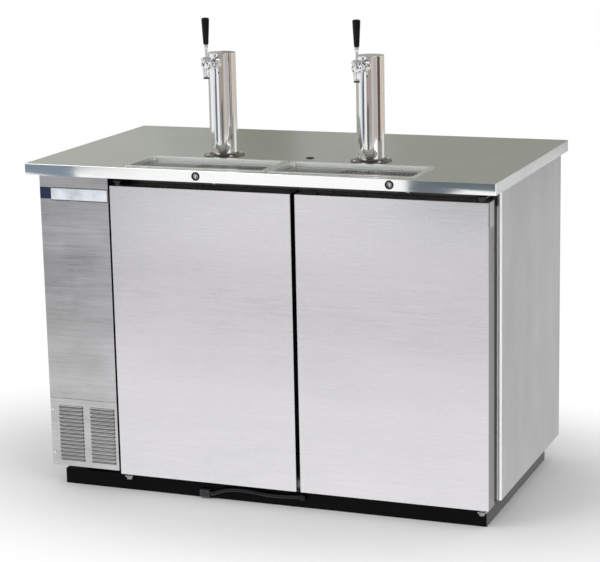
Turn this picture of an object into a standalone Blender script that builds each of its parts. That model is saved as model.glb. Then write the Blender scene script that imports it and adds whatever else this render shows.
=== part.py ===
"""Direct-draw keg cooler: an insulated two-door cabinet with a machine compartment at its left, a steel
worktop with two sunk drip trays, and two single-tap columns.

Metres, +Z up. X runs along the front from left to right, Y from the front to the back, and the origin is the
middle of the footprint on the floor.
"""

import math

import bmesh
import bpy
from mathutils import Matrix, Vector

MM = 0.001

# Fits shared by all pieces
GAP = 0.3 * MM
OVERRUN = 4 * MM
WELD = 0.001 * MM
WELD_CUT = 0.04 * MM
SHADING_CREASE = math.radians(35)
SHEET = 1.2 * MM
FOLD_RADIUS = 2 * MM

# Worktop and the overhangs that place the cabinet under it
WORKTOP_WIDTH = 1270 * MM
WORKTOP_DEPTH = 722 * MM
WORKTOP_HEIGHT = 888 * MM
WORKTOP_LIP = 30 * MM
SIDE_OVERHANG = 18 * MM
BACK_OVERHANG = 7 * MM
DOOR_SETBACK = 43.8 * MM

# Doors
DOOR_THICKNESS = 57 * MM
DOOR_BOTTOM = 49.6 * MM
DOOR_TOP_GAP = 26.8 * MM
DOOR_GAP = 11.2 * MM
DOOR_EDGE_GAP = 4.8 * MM
DOOR_SIDE_MARGIN = 13 * MM
GASKET_DEPTH = 12.6 * MM
GASKET_WIDTH = 18 * MM
GASKET_BEAD = 6 * MM
GASKET_INSET = 20 * MM
PULL_HEIGHT = 20 * MM
PULL_LIP = 10 * MM
PULL_GROOVE = 26 * MM
PULL_GROOVE_DEPTH = 16 * MM
PULL_END = 48 * MM
LINER_STEP = 4 * MM
LINER_MARGIN = 52 * MM

# Hinges
HINGE_INSET = 20 * MM
HINGE_SETBACK = 11 * MM
HINGE_PIN_RADIUS = 4 * MM
HINGE_PIN_PLAY = 0.4 * MM
HINGE_PIN_REACH = 15 * MM
HINGE_PLATE = 4 * MM
HINGE_PLATE_WIDTH = 26 * MM
HINGE_PLATE_NOSE = 12 * MM
HINGE_FOOT = 16 * MM
HINGE_NUT_RADIUS = 8 * MM
HINGE_NUT_HEIGHT = 9 * MM
HINGE_NUT_CHAMFER = 2 * MM
HINGE_WASHER_RADIUS = 9 * MM
HINGE_CHEEK_HEIGHT = 64 * MM
HINGE_CHEEK_DEPTH = 40 * MM
HINGE_CHEEK_STEP = 5 * MM
HINGE_CHEEK_STAND = 1.25 * MM

# Insulated cabinet
CABINET_BOTTOM = 58 * MM
CAVITY_MARGIN = 44 * MM
CAVITY_BACK_WALL = 52 * MM
FRAME_SHEET = 1.5 * MM
SIDE_RETURN = 12 * MM
LINER_SHEET = 1 * MM
MULLION_DEPTH = 60 * MM
VENT_SLOTS = 8
VENT_SLOT_HEIGHT = 6 * MM
VENT_SLOT_PITCH = 22 * MM
VENT_SLOT_MARGIN = 30 * MM
VENT_SLOT_START = 90 * MM

# Machine compartment
COMPARTMENT_WIDTH = 199 * MM
PANEL_RETURN = 25 * MM
PANEL_SEAM = 0.8 * MM
POST_LEG = 20 * MM
GRILLE_HEIGHT = 187.5 * MM
LOUVRE_ROWS = 15
LOUVRE_PITCH = 10.4 * MM
LOUVRE_LENGTH = 76 * MM
LOUVRE_HEIGHT = 6 * MM
LOUVRE_RISE = 3.6 * MM
LOUVRE_WALL = 1 * MM
LOUVRE_LEFT_MARGIN = 24 * MM
LOUVRE_MIDDLE_GAP = 17 * MM
LOUVRE_TOP_MARGIN = 18 * MM
LOUVRE_ARC_POINTS = 3
MACHINE_FLOOR_SHEET = 2 * MM
MACHINE_FLOOR_FRONT = 8 * MM

# Base
BASE_SIDE_SETBACK = 25.3 * MM
BASE_FRONT_SETBACK = 25.7 * MM
BASE_BACK_SETBACK = 60 * MM
BASE_HEIGHT = 42 * MM
BASE_SHEET = 2 * MM
BASE_FLANGE = 34 * MM
RAIL_WIDTH = 40 * MM
RAIL_COUNT = 4
RAIL_END_SETBACK = 50 * MM

# Worktop underframe and openings
BATTEN_CLEARANCE = 1.5 * MM
TRAY_CUTOUT_PLAY = 1 * MM
COLUMN_HOLE_RADIUS = 24 * MM
LOCK_BAY_LEFT = 14 * MM
LOCK_BAY_RIGHT = 60 * MM

# Drip trays, side by side about a line right of the middle
TRAY_PAIR_OFFSET = 31.5 * MM
TRAY_SPACING = 29 * MM
TRAY_LENGTH = 366 * MM
TRAY_WIDTH = 150 * MM
TRAY_FRONT = 35 * MM
TRAY_DEPTH = 25 * MM
TRAY_CORNER = 9 * MM
TRAY_RIM = 12 * MM
TRAY_DRAIN_RADIUS = 9 * MM
TRAY_DRAIN_WALL = 1.5 * MM
TRAY_DRAIN_SETBACK = 112 * MM
TRAY_DRAIN_TAIL = 14 * MM
TRAY_DRAIN_PLAY = 2 * MM
GRID_PLAY = 1.5 * MM
GRID_SHEET = 1.5 * MM
GRID_SINK = 10.5 * MM
SLOT_ROWS = 3
SLOT_COLUMNS = 12
SLOT_PITCH = 15 * MM
SLOT_ROW_PITCH = 38 * MM
SLOT_LENGTH = 28 * MM
SLOT_WIDTH = 4.5 * MM
SLOT_SLANT = math.radians(22)
SLOT_OFFSET = 66 * MM

# Tap columns
COLUMN_OFFSETS = (-11 * MM, 3.5 * MM)
COLUMN_SETBACK = 255.3 * MM
COLUMN_RADIUS = 36.5 * MM
COLUMN_WALL = 2 * MM
COLUMN_HEIGHT = 271.5 * MM
COLUMN_CAP = 2.5 * MM
FLANGE_RADIUS = 54 * MM
FLANGE_HEIGHT = 4 * MM
FLANGE_FILLET = 3 * MM
FLANGE_FILLET_MIDDLE_SHARE = 0.3
TAP_DROP = 23.5 * MM

# Tap, measured outwards from the column's face
SHANK_RADIUS = 10.4 * MM
SHANK_BORE = 4 * MM
SHANK_PLAY = 0.4 * MM
SHANK_FLANGE_RADIUS = 15.5 * MM
SHANK_FLANGE = 3.2 * MM
SHANK_OUTSIDE = 20 * MM
SHANK_INSIDE = 16 * MM
SHANK_NUT_RADIUS = 15 * MM
SHANK_NUT = 6 * MM
COUPLING_START = 6 * MM
COUPLING_END = 27 * MM
COUPLING_RADIUS = 15.5 * MM
COUPLING_LIP = 2.4 * MM
COUPLING_CHAMFER = 1.5 * MM
COLLAR_RADIUS = 12.2 * MM
COLLAR_LENGTH = 4 * MM
BARREL_RADIUS = 10.6 * MM
BARREL_BORE = 7.4 * MM
WELL_RADIUS = 6.7 * MM
LEVER_REACH = 62 * MM
BARREL_NOSE = 12 * MM
CHAMBER_RADIUS = 14 * MM
CHAMBER_NEAR_SHARE = 0.96
CHAMBER_FAR_SHARE = 0.9
CHAMBER_NOSE_SHARE = 0.55
NECK_RADIUS = 12 * MM
NECK_HEIGHT = 17 * MM
BALL_RADIUS = 8 * MM
BALL_PLAY = 0.4 * MM
BALL_RISE = 14 * MM
BONNET_RADIUS = 14 * MM
BONNET_TOP_RADIUS = 11.5 * MM
BONNET_HEIGHT = 12 * MM
BONNET_OVERLAP = 4.8 * MM
BONNET_LIP_RISE = 4.4 * MM
BONNET_MOUTH = 7.4 * MM
SPOUT_DROP = 36 * MM
SPOUT_TOP_RADIUS = 9.5 * MM
SPOUT_TIP_RADIUS = 6.8 * MM
SPOUT_BORE = 4.6 * MM
SPOUT_LEAN = math.radians(6)

# Lever, handle and the valve plunger that the lever pushes
LEVER_TRAVEL = math.radians(30)
STEM_RADIUS = 3.2 * MM
STEM_TOP = 25 * MM
FINGER_LENGTH = 16 * MM
FINGER_RADIUS = 1.3 * MM
FINGER_BALL = 2.1 * MM
FERRULE_HEIGHT = 14 * MM
FERRULE_RADIUS = 5.6 * MM
FERRULE_NECK = 4.4 * MM
HANDLE_LENGTH = 68 * MM
HANDLE_FOOT_RADIUS = 7.2 * MM
HANDLE_TOP_RADIUS = 10.8 * MM
HANDLE_CROWN = 6 * MM
# How far up the crown and how wide, from its shoulder to its top
HANDLE_CROWN_SHARES = ((0, 1), (0.45, 0.985), (0.78, 0.86), (0.94, 0.6), (1, 0.3))
HANDLE_SIDES = 12
PLUNGER_RADIUS = 2.6 * MM
PLUNGER_ROD_SHARE = 0.8
PLUNGER_HEAD_RADIUS = 6.4 * MM
PLUNGER_HEAD = 3 * MM
PLUNGER_LENGTH = 20 * MM
SHOE_HALF = 4.6 * MM
SHOE_NOTCH = 2.6 * MM
SHOE_LOW = 4 * MM
SHOE_HIGH = 1.4 * MM

# Beer line inside each column
LINE_RADIUS = 5 * MM
LINE_BEND = 12 * MM
LINE_END_DROP = 22 * MM
LINE_NUT_RADIUS = 9 * MM
LINE_HOLE_PLAY = 3 * MM
LINE_STEPS = 6

# Locks in the worktop's front lip
LOCK_OFFSET = 14.3 * MM
LOCK_FACE_RADIUS = 11.5 * MM
LOCK_FACE = 1.2 * MM
LOCK_BARREL_RADIUS = 9 * MM
LOCK_BARREL_LENGTH = 25 * MM
LOCK_PLUG_RADIUS = 6 * MM
LOCK_PLAY = 0.3 * MM
KEYWAY_LENGTH = 7 * MM
KEYWAY_WIDTH = 1.6 * MM
KEYWAY_DEPTH = 2.5 * MM
CAM_ARM = 44 * MM
CAM_WIDTH = 13 * MM
CAM_SHEET = 3 * MM
CAM_REST = math.radians(21)
CAM_FINGER_RADIUS = 3.5 * MM
CAM_FINGER_CLEARANCE = 1.5 * MM

# Small parts on the worktop and on the kick plate
PLUG_PLACE = (63.4 * MM, 258 * MM)
PLUG_RADIUS = 11 * MM
PLUG_STEM_RADIUS = 8 * MM
PLUG_HEIGHT = 2.5 * MM
# How far up the dome and how wide, from its edge to its top
PLUG_DOME_SHARES = ((0, 1), (0.4, 0.97), (0.72, 0.8), (0.93, 0.5), (1, 0.2))
PLUG_STEM = 10 * MM
DRAIN_BLOCK_LEFT = -190 * MM
DRAIN_BLOCK_LENGTH = 27 * MM
DRAIN_BLOCK_LOW = 5 * MM
DRAIN_BLOCK_HEIGHT = 20 * MM
DRAIN_BLOCK_DEPTH = 14 * MM
DRAIN_HOSE_RADIUS = 5.5 * MM
DRAIN_HOSE_HEIGHTS = (15 * MM, 16 * MM, 27 * MM, 32 * MM, 31 * MM, 27 * MM, 27 * MM, 30 * MM, 30 * MM)
DRAIN_HOSE_PLACE_SHARES = (0, 0.04, 0.16, 0.3, 0.46, 0.62, 0.78, 0.94, 1)
DRAIN_HOSE_RUN = 256 * MM
DRAIN_ELBOW_SIZE = 15 * MM

# Refrigeration
COMPRESSOR_RADIUS = 72 * MM
COMPRESSOR_HEIGHT = 165 * MM
COMPRESSOR_DOME_SHARE = 0.3
COMPRESSOR_DOME_STEPS = 4
COMPRESSOR_SETBACK = 440 * MM
COMPRESSOR_FOOT = 8 * MM
COMPRESSOR_FOOT_HALF = 80 * MM
COMPRESSOR_SEAM_HEIGHT = 8 * MM
COMPRESSOR_SEAM_STAND = 3 * MM
TERMINAL_WIDTH = 42 * MM
TERMINAL_HEIGHT = 46 * MM
TERMINAL_REACH = 22 * MM
TERMINAL_LIFT = 28 * MM
TERMINAL_CORNER = 4 * MM
COIL_WIDTH = 168 * MM
COIL_HEIGHT = 166 * MM
COIL_DEPTH = 44 * MM
COIL_SETBACK = 16 * MM
COIL_FINS = 14
COIL_FIN_DEPTH = 6 * MM
SHROUD_DEPTH = 30 * MM
SHROUD_SHEET = 3 * MM
FAN_RADIUS = 68 * MM
FAN_CLEARANCE = 6 * MM
FAN_HUB_RADIUS = 16 * MM
FAN_HUB_DEPTH = 14 * MM
FAN_BLADES = 5
FAN_BLADE_ROOT_SHARE = 0.6
FAN_BLADE_SHEET = 2 * MM
FAN_BLADE_PITCH = math.radians(28)
FAN_BLADE_SPAN_SHARE = 0.62
MOTOR_RADIUS = 24 * MM
MOTOR_DEPTH = 46 * MM
MOTOR_SHAFT_RADIUS = 3 * MM
MOTOR_STRUT = 8 * MM
PIPE_RADIUS = 4 * MM
PIPE_START_RISE = 8 * MM
PIPE_BEND_RISE = 24 * MM
PIPE_SLOPE_RISE = 40 * MM
PIPE_CREST_RISE = 48 * MM
PIPE_DROP_RISE = 32 * MM
PIPE_STEPS = 4
EVAPORATOR_WIDTH = 300 * MM
EVAPORATOR_DEPTH = 110 * MM
EVAPORATOR_HEIGHT = 190 * MM
EVAPORATOR_BACK_GAP = 2 * MM
EVAPORATOR_FAN_SHARE = 0.3
EVAPORATOR_DROP = 26 * MM
EVAPORATOR_WALL = 2 * MM
EVAPORATOR_FAN_RADIUS = 62 * MM
EVAPORATOR_SLOTS = 6
EVAPORATOR_SLOT = 8 * MM
EVAPORATOR_SLOT_PITCH = 16 * MM

# Round counts
ROUND_STEPS = 20
TAP_STEPS = 20
NECK_STEPS = 22
SPOUT_STEPS = 18
FINE_STEPS = 28
SMALL_STEPS = 12
BALL_RINGS = 8
TIP_RINGS = 4
PATH_STEPS = 4
HOSE_SIDES = 2
PIPE_SIDES = 1

# Places worked out from the sizes above
LEFT = -WORKTOP_WIDTH / 2 + SIDE_OVERHANG
RIGHT = WORKTOP_WIDTH / 2 - SIDE_OVERHANG
WORKTOP_FRONT = -WORKTOP_DEPTH / 2
WORKTOP_BACK = WORKTOP_DEPTH / 2
FRONT = WORKTOP_FRONT + DOOR_SETBACK
BACK = WORKTOP_BACK - BACK_OVERHANG
CABINET_TOP = WORKTOP_HEIGHT - WORKTOP_LIP
CABINET_FRONT = FRONT + DOOR_THICKNESS + GASKET_DEPTH + GAP
DOOR_TOP = CABINET_TOP - DOOR_TOP_GAP
DOOR_BACK = FRONT + DOOR_THICKNESS
PANEL_RIGHT = LEFT + COMPARTMENT_WIDTH
DOOR_WIDTH = (RIGHT - DOOR_SIDE_MARGIN - PANEL_RIGHT - DOOR_EDGE_GAP - DOOR_GAP) / 2
DOOR_LEFTS = (PANEL_RIGHT + DOOR_EDGE_GAP, PANEL_RIGHT + DOOR_EDGE_GAP + DOOR_WIDTH + DOOR_GAP)
HINGE_XS = (DOOR_LEFTS[0] + HINGE_INSET, DOOR_LEFTS[1] + DOOR_WIDTH - HINGE_INSET)
HINGE_Y = FRONT + HINGE_SETBACK
HINGE_BACK = CABINET_FRONT - SHEET - GAP * 2
CAVITY_LEFT = DOOR_LEFTS[0] + CAVITY_MARGIN
CAVITY_RIGHT = DOOR_LEFTS[1] + DOOR_WIDTH - CAVITY_MARGIN
CAVITY_FLOOR = DOOR_BOTTOM + CAVITY_MARGIN
CAVITY_TOP = DOOR_TOP - CAVITY_MARGIN
CAVITY_BACK = BACK - CAVITY_BACK_WALL
BODY_FRONT = CABINET_FRONT + FRAME_SHEET + GAP
BODY_BACK = BACK - SHEET - GAP
BODY_LEFT = PANEL_RIGHT
BODY_RIGHT = RIGHT - SHEET - GAP
MULLION_LEFT = DOOR_LEFTS[0] + DOOR_WIDTH - CAVITY_MARGIN
MULLION_RIGHT = DOOR_LEFTS[1] + CAVITY_MARGIN
COLUMN_Y = WORKTOP_FRONT + COLUMN_SETBACK
TAP_Z = WORKTOP_HEIGHT + COLUMN_HEIGHT - TAP_DROP
BASE_FRONT = FRONT + BASE_FRONT_SETBACK
BASE_BACK = BACK - BASE_BACK_SETBACK
BASE_LEFT = LEFT + BASE_SIDE_SETBACK
BASE_RIGHT = RIGHT - BASE_SIDE_SETBACK
TRAY_PITCH = TRAY_LENGTH + TRAY_SPACING
TRAY_MIDDLES = (TRAY_PAIR_OFFSET - TRAY_PITCH / 2, TRAY_PAIR_OFFSET + TRAY_PITCH / 2)
COLUMN_MIDDLES = tuple(middle + offset for middle, offset in zip(TRAY_MIDDLES, COLUMN_OFFSETS))
TRAY_Y = WORKTOP_FRONT + TRAY_FRONT
TRAY_BACK = TRAY_Y + TRAY_WIDTH
TRAY_FLOOR = WORKTOP_HEIGHT - TRAY_DEPTH
LOCK_XS = tuple(left + DOOR_WIDTH / 2 + LOCK_OFFSET for left in DOOR_LEFTS)
LOCK_Z = WORKTOP_HEIGHT - WORKTOP_LIP / 2
SIDES = ("left", "right")

X_AXIS = Vector((1, 0, 0))
Y_AXIS = Vector((0, 1, 0))
Z_AXIS = Vector((0, 0, 1))


# Making and joining solids


def material(name, colour, roughness, metallic):
    made = bpy.data.materials.new(name)
    made.use_nodes = True
    shader = made.node_tree.nodes["Principled BSDF"]
    shader.inputs["Base Color"].default_value = (*colour, 1)
    shader.inputs["Roughness"].default_value = roughness
    shader.inputs["Metallic"].default_value = metallic
    return made


def node(name, bm, finish, smooth=False):
    """An object from a bmesh, its faces pointing out."""
    bmesh.ops.recalc_face_normals(bm, faces=bm.faces)
    mesh = bpy.data.meshes.new(name)
    bm.to_mesh(mesh)
    bm.free()
    if smooth:
        mesh.shade_smooth()
        mesh.set_sharp_from_angle(angle=SHADING_CREASE)
    made = bpy.data.objects.new(name, mesh)
    bpy.context.scene.collection.objects.link(made)
    made.data.materials.append(finish)
    return made


def box(bm, low, high):
    """A box between two corners; returns its vertices."""
    low, high = Vector(low), Vector(high)
    size = high - low
    place = Matrix.Translation((low + high) / 2) @ Matrix.Diagonal((*size, 1))
    return bmesh.ops.create_cube(bm, size=1, matrix=place)["verts"]


def upright_edges(verts, axis=2):
    """The edges among these vertices that run along one axis."""
    edges = {edge for vert in verts for edge in vert.link_edges}
    across = [other for other in range(3) if other != axis]
    return [
        edge
        for edge in edges
        if all(abs(edge.verts[0].co[a] - edge.verts[1].co[a]) < WELD for a in across)
    ]


def rounded(bm, edges, radius, segments=3):
    bmesh.ops.bevel(
        bm, geom=edges, offset=radius, segments=segments, profile=0.5, affect="EDGES", material=-1
    )


def turned(bm, profile, origin, axis, steps=ROUND_STEPS, ring=False):
    """A solid turned about an axis from (along, radius) pairs, closed to the axis or a ring."""
    axis = Vector(axis).normalized()
    side = axis.orthogonal().normalized()
    origin = Vector(origin)
    points = list(profile)
    if not ring:
        if points[0][1] > 0:
            points.insert(0, (points[0][0], 0))
        if points[-1][1] > 0:
            points.append((points[-1][0], 0))
    verts = [bm.verts.new(origin + axis * along + side * radius) for along, radius in points]
    pairs = list(zip(verts, verts[1:]))
    if ring:
        pairs.append((verts[-1], verts[0]))
    edges = [bm.edges.new(pair) for pair in pairs]
    bmesh.ops.spin(
        bm, geom=verts + edges, cent=origin, axis=axis, angle=math.tau, steps=steps, use_merge=True
    )
    bmesh.ops.remove_doubles(bm, verts=bm.verts, dist=WELD)


def prism(bm, outline, axis, low, high):
    """An outline in the plane across an axis, extruded along it. Its pairs follow X, Y, Z order."""
    others = [a for a in range(3) if a != axis]
    verts = []
    for first, second in outline:
        place = Vector()
        place[axis] = low
        place[others[0]], place[others[1]] = first, second
        verts.append(bm.verts.new(place))
    face = bm.faces.new(verts)
    grown = bmesh.ops.extrude_face_region(bm, geom=[face])["geom"]
    step = Vector()
    step[axis] = high - low
    bmesh.ops.translate(bm, vec=step, verts=[v for v in grown if isinstance(v, bmesh.types.BMVert)])


def helper(bm):
    """A hidden object that cuts or joins another."""
    made = node("helper", bm, bpy.data.materials["steel"])
    made.hide_render = True
    made.display_type = "WIRE"
    return made


def combine(target, bm, operation):
    modifier = target.modifiers.new(operation.lower(), "BOOLEAN")
    modifier.operation = operation
    # The bores in a tap meet along shared planes, where the plainer way of joining closes every edge.
    modifier.solver = "MANIFOLD" if target.name.startswith("tap_") else "EXACT"
    modifier.object = helper(bm)
    return target


def cut(target, bm):
    return combine(target, bm, "DIFFERENCE")


def weld(target):
    """Draws together the points that the cuts before it left a hair apart."""
    modifier = target.modifiers.new("weld", "WELD")
    modifier.merge_threshold = WELD_CUT


def join(target, bm):
    return combine(target, bm, "UNION")


def boxes(*corners):
    bm = bmesh.new()
    for low, high in corners:
        box(bm, low, high)
    return bm


def drilled(places, radius, axis, low, high, steps=ROUND_STEPS):
    """Cylinders along an axis from low to high, at places given by their other two coordinates."""
    bm = bmesh.new()
    others = [a for a in range(3) if a != axis]
    for first, second in places:
        origin = Vector()
        origin[others[0]], origin[others[1]] = first, second
        direction = Vector()
        direction[axis] = 1
        turned(bm, [(low, radius), (high, radius)], origin, direction, steps)
    return bm


def pivot(name, place, *pieces):
    """An empty on a joint's axis that carries the pieces that move with it."""
    empty = bpy.data.objects.new(name, None)
    empty.location = place
    bpy.context.scene.collection.objects.link(empty)
    for piece in pieces:
        piece.data.transform(Matrix.Translation(-Vector(place)))
        piece.parent = empty
    return empty


def tube(points, radius, sides):
    """A bmesh of a round tube along points, with filled ends."""
    curve = bpy.data.curves.new("tube", "CURVE")
    curve.dimensions = "3D"
    curve.bevel_depth = radius
    curve.bevel_resolution = sides
    curve.use_fill_caps = True
    spline = curve.splines.new("POLY")
    spline.points.add(len(points) - 1)
    for point, place in zip(spline.points, points):
        point.co = (*place, 1)
    carrier = bpy.data.objects.new("tube", curve)
    bpy.context.scene.collection.objects.link(carrier)
    graph = bpy.context.evaluated_depsgraph_get()
    bm = bmesh.new()
    bm.from_mesh(carrier.evaluated_get(graph).to_mesh())
    bpy.data.objects.remove(carrier)
    bmesh.ops.remove_doubles(bm, verts=bm.verts, dist=WELD)
    return bm


def smooth_path(points, steps):
    """A smooth curve through the points, as more points."""
    points = [Vector(p) for p in points]
    ends = [points[0] * 2 - points[1], *points, points[-1] * 2 - points[-2]]
    made = []
    for a, b, c, d in zip(ends, ends[1:], ends[2:], ends[3:]):
        for step in range(steps):
            t = step / steps
            bend = (a * 2 - b * 5 + c * 4 - d) * t**2 + (b * 3 - a - c * 3 + d) * t**3
            made.append((b * 2 + (c - a) * t + bend) / 2)
    return [*made, points[-1]]


# Base and cabinet


def build_base():
    """A black channel frame on the floor, with rails welded across it that carry the cabinet."""
    base = node(
        "base_frame",
        boxes(((BASE_LEFT, BASE_FRONT, 0), (BASE_RIGHT, BASE_BACK, BASE_HEIGHT))),
        bpy.data.materials["black_paint"],
    )
    hollow = (
        (BASE_LEFT + BASE_SHEET, BASE_FRONT + BASE_SHEET, BASE_SHEET),
        (BASE_RIGHT - BASE_SHEET, BASE_BACK - BASE_SHEET, BASE_HEIGHT - BASE_SHEET),
    )
    well = (
        (BASE_LEFT + BASE_FLANGE, BASE_FRONT + BASE_FLANGE, -OVERRUN),
        (BASE_RIGHT - BASE_FLANGE, BASE_BACK - BASE_FLANGE, BASE_HEIGHT + OVERRUN),
    )
    cut(base, boxes(hollow))
    cut(base, boxes(well))
    first = BASE_LEFT + RAIL_END_SETBACK
    pitch = (BASE_RIGHT - BASE_LEFT - RAIL_END_SETBACK * 2 - RAIL_WIDTH) / (RAIL_COUNT - 1)
    for index in range(RAIL_COUNT):
        x = first + pitch * index
        low = (x, CABINET_FRONT, BASE_HEIGHT - BASE_SHEET / 2)
        join(base, boxes((low, (x + RAIL_WIDTH, BASE_BACK, CABINET_BOTTOM - GAP))))
    inset = SHEET + GAP
    near = FRONT + PANEL_RETURN + MACHINE_FLOOR_FRONT
    low = (LEFT + inset, near, CABINET_BOTTOM - MACHINE_FLOOR_SHEET)
    join(base, boxes((low, (PANEL_RIGHT - inset * 2, BASE_BACK, CABINET_BOTTOM))))


def build_cabinet():
    """The foamed body, open at its front and top, with its insulated lid, liner and front frame."""
    body = node(
        "insulated_body",
        boxes(((BODY_LEFT, BODY_FRONT, CABINET_BOTTOM), (BODY_RIGHT, BODY_BACK, CAVITY_TOP))),
        bpy.data.materials["galvanised"],
    )
    cavity_low = Vector((CAVITY_LEFT, BODY_FRONT - OVERRUN, CAVITY_FLOOR))
    cavity_high = Vector((CAVITY_RIGHT, CAVITY_BACK, CAVITY_TOP + OVERRUN))
    cut(body, boxes((cavity_low, cavity_high)))

    lid = node(
        "top_insulation",
        boxes(((BODY_LEFT, BODY_FRONT, CAVITY_TOP + GAP), (BODY_RIGHT, BODY_BACK, CABINET_TOP - GAP))),
        bpy.data.materials["galvanised"],
    )
    low, high = CAVITY_TOP - OVERRUN, CABINET_TOP + OVERRUN
    cut(lid, drilled([(x, COLUMN_Y) for x in COLUMN_MIDDLES], COLUMN_HOLE_RADIUS, 2, low, high))
    drain_y = TRAY_Y + TRAY_DRAIN_SETBACK
    drain_hole = TRAY_DRAIN_RADIUS + TRAY_DRAIN_PLAY
    cut(lid, drilled([(x, drain_y) for x in TRAY_MIDDLES], drain_hole, 2, low, high))

    outer_low = Vector((CAVITY_LEFT + GAP, BODY_FRONT, CAVITY_FLOOR + GAP))
    outer_high = Vector((CAVITY_RIGHT - GAP, CAVITY_BACK - GAP, CAVITY_TOP))
    liner = node("liner", boxes((outer_low, outer_high)), bpy.data.materials["liner_steel"])
    wall = Vector((LINER_SHEET, LINER_SHEET, LINER_SHEET))
    inner_low = outer_low + wall
    inner_low.y = BODY_FRONT - OVERRUN
    cut(liner, boxes((inner_low, outer_high - wall)))
    cut(liner, drilled([(x, drain_y) for x in TRAY_MIDDLES], drain_hole, 2, CAVITY_TOP - OVERRUN, high))
    line_hole = LINE_RADIUS + LINE_HOLE_PLAY
    line_y = COLUMN_Y + line_offset()
    cut(liner, drilled([(x, line_y) for x in COLUMN_MIDDLES], line_hole, 2, CAVITY_TOP - OVERRUN, high))

    frame = node(
        "face_frame",
        boxes(
            (
                (BODY_LEFT, CABINET_FRONT, CABINET_BOTTOM),
                (RIGHT - SIDE_RETURN - GAP, CABINET_FRONT + FRAME_SHEET, CABINET_TOP - GAP),
            )
        ),
        bpy.data.materials["steel"],
    )
    near, far = CABINET_FRONT - OVERRUN, CABINET_FRONT + FRAME_SHEET + OVERRUN
    cut(
        frame,
        boxes(
            ((CAVITY_LEFT, near, CAVITY_FLOOR), (MULLION_LEFT, far, CAVITY_TOP)),
            ((MULLION_RIGHT, near, CAVITY_FLOOR), (CAVITY_RIGHT, far, CAVITY_TOP)),
        ),
    )
    post = bmesh.new()
    inside = LINER_SHEET + GAP * 2
    verts = box(
        post,
        (MULLION_LEFT, CABINET_FRONT + FRAME_SHEET / 2, CAVITY_FLOOR + inside),
        (MULLION_RIGHT, BODY_FRONT + MULLION_DEPTH, CAVITY_TOP - inside),
    )
    back_edges = [
        edge
        for edge in upright_edges(verts)
        if edge.verts[0].co.y > BODY_FRONT + MULLION_DEPTH / 2
    ]
    rounded(post, back_edges, MULLION_DEPTH / 4)
    join(frame, post)


def build_skins():
    """The outer steel skins: folded right side, flat left side and a back with vents for the machine."""
    top = CABINET_TOP - GAP
    side = bmesh.new()
    fold = [
        (RIGHT, CABINET_FRONT),
        (RIGHT, BACK),
        (RIGHT - SHEET, BACK),
        (RIGHT - SHEET, CABINET_FRONT + SHEET),
        (RIGHT - SIDE_RETURN, CABINET_FRONT + SHEET),
        (RIGHT - SIDE_RETURN, CABINET_FRONT),
    ]
    prism(side, fold, 2, CABINET_BOTTOM, top)
    corner = [
        edge
        for edge in upright_edges(side.verts)
        if (edge.verts[0].co.xy - Vector((RIGHT, CABINET_FRONT))).length < WELD
    ]
    rounded(side, corner, SHEET / 2)
    node("right_side_panel", side, bpy.data.materials["steel"])

    near = FRONT + PANEL_RETURN + PANEL_SEAM
    node(
        "left_side_panel",
        boxes(((LEFT, near, CABINET_BOTTOM), (LEFT + SHEET, BACK, top))),
        bpy.data.materials["steel"],
    )
    inset = SHEET + GAP
    back = node(
        "back_panel",
        boxes(((LEFT + inset, BACK - SHEET, CABINET_BOTTOM), (RIGHT - inset, BACK, top))),
        bpy.data.materials["galvanised"],
    )
    slots = bmesh.new()
    for index in range(VENT_SLOTS):
        z = CABINET_BOTTOM + VENT_SLOT_START + VENT_SLOT_PITCH * index
        box(
            slots,
            (LEFT + VENT_SLOT_MARGIN, BACK - SHEET - OVERRUN, z),
            (PANEL_RIGHT - VENT_SLOT_MARGIN, BACK + OVERRUN, z + VENT_SLOT_HEIGHT),
        )
    cut(back, slots)


# Machine compartment


def channel_outline(left, right, front, depth):
    """A sheet folded into a channel, seen from above: a front face with a return at each side."""
    return [
        (left, front + depth),
        (left, front),
        (right, front),
        (right, front + depth),
        (right - SHEET, front + depth),
        (right - SHEET, front + SHEET),
        (left + SHEET, front + SHEET),
        (left + SHEET, front + depth),
    ]


def folded_channel(left, right, front, depth, low, high):
    bm = bmesh.new()
    prism(bm, channel_outline(left, right, front, depth), 2, low, high)
    folds = [
        edge
        for edge in upright_edges(bm.verts)
        if abs(edge.verts[0].co.y - front) < WELD
    ]
    rounded(bm, folds, SHEET / 2)
    return bm


def louvre_arc(height, rise, base):
    """The hood's outer side, from the sheet at its top, out and down to its mouth, as (y, z) pairs."""
    arc = []
    for step in range(LOUVRE_ARC_POINTS):
        angle = math.pi / 2 * step / (LOUVRE_ARC_POINTS - 1)
        arc.append((base - rise * math.sin(angle), height * math.cos(angle)))
    return arc


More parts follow.
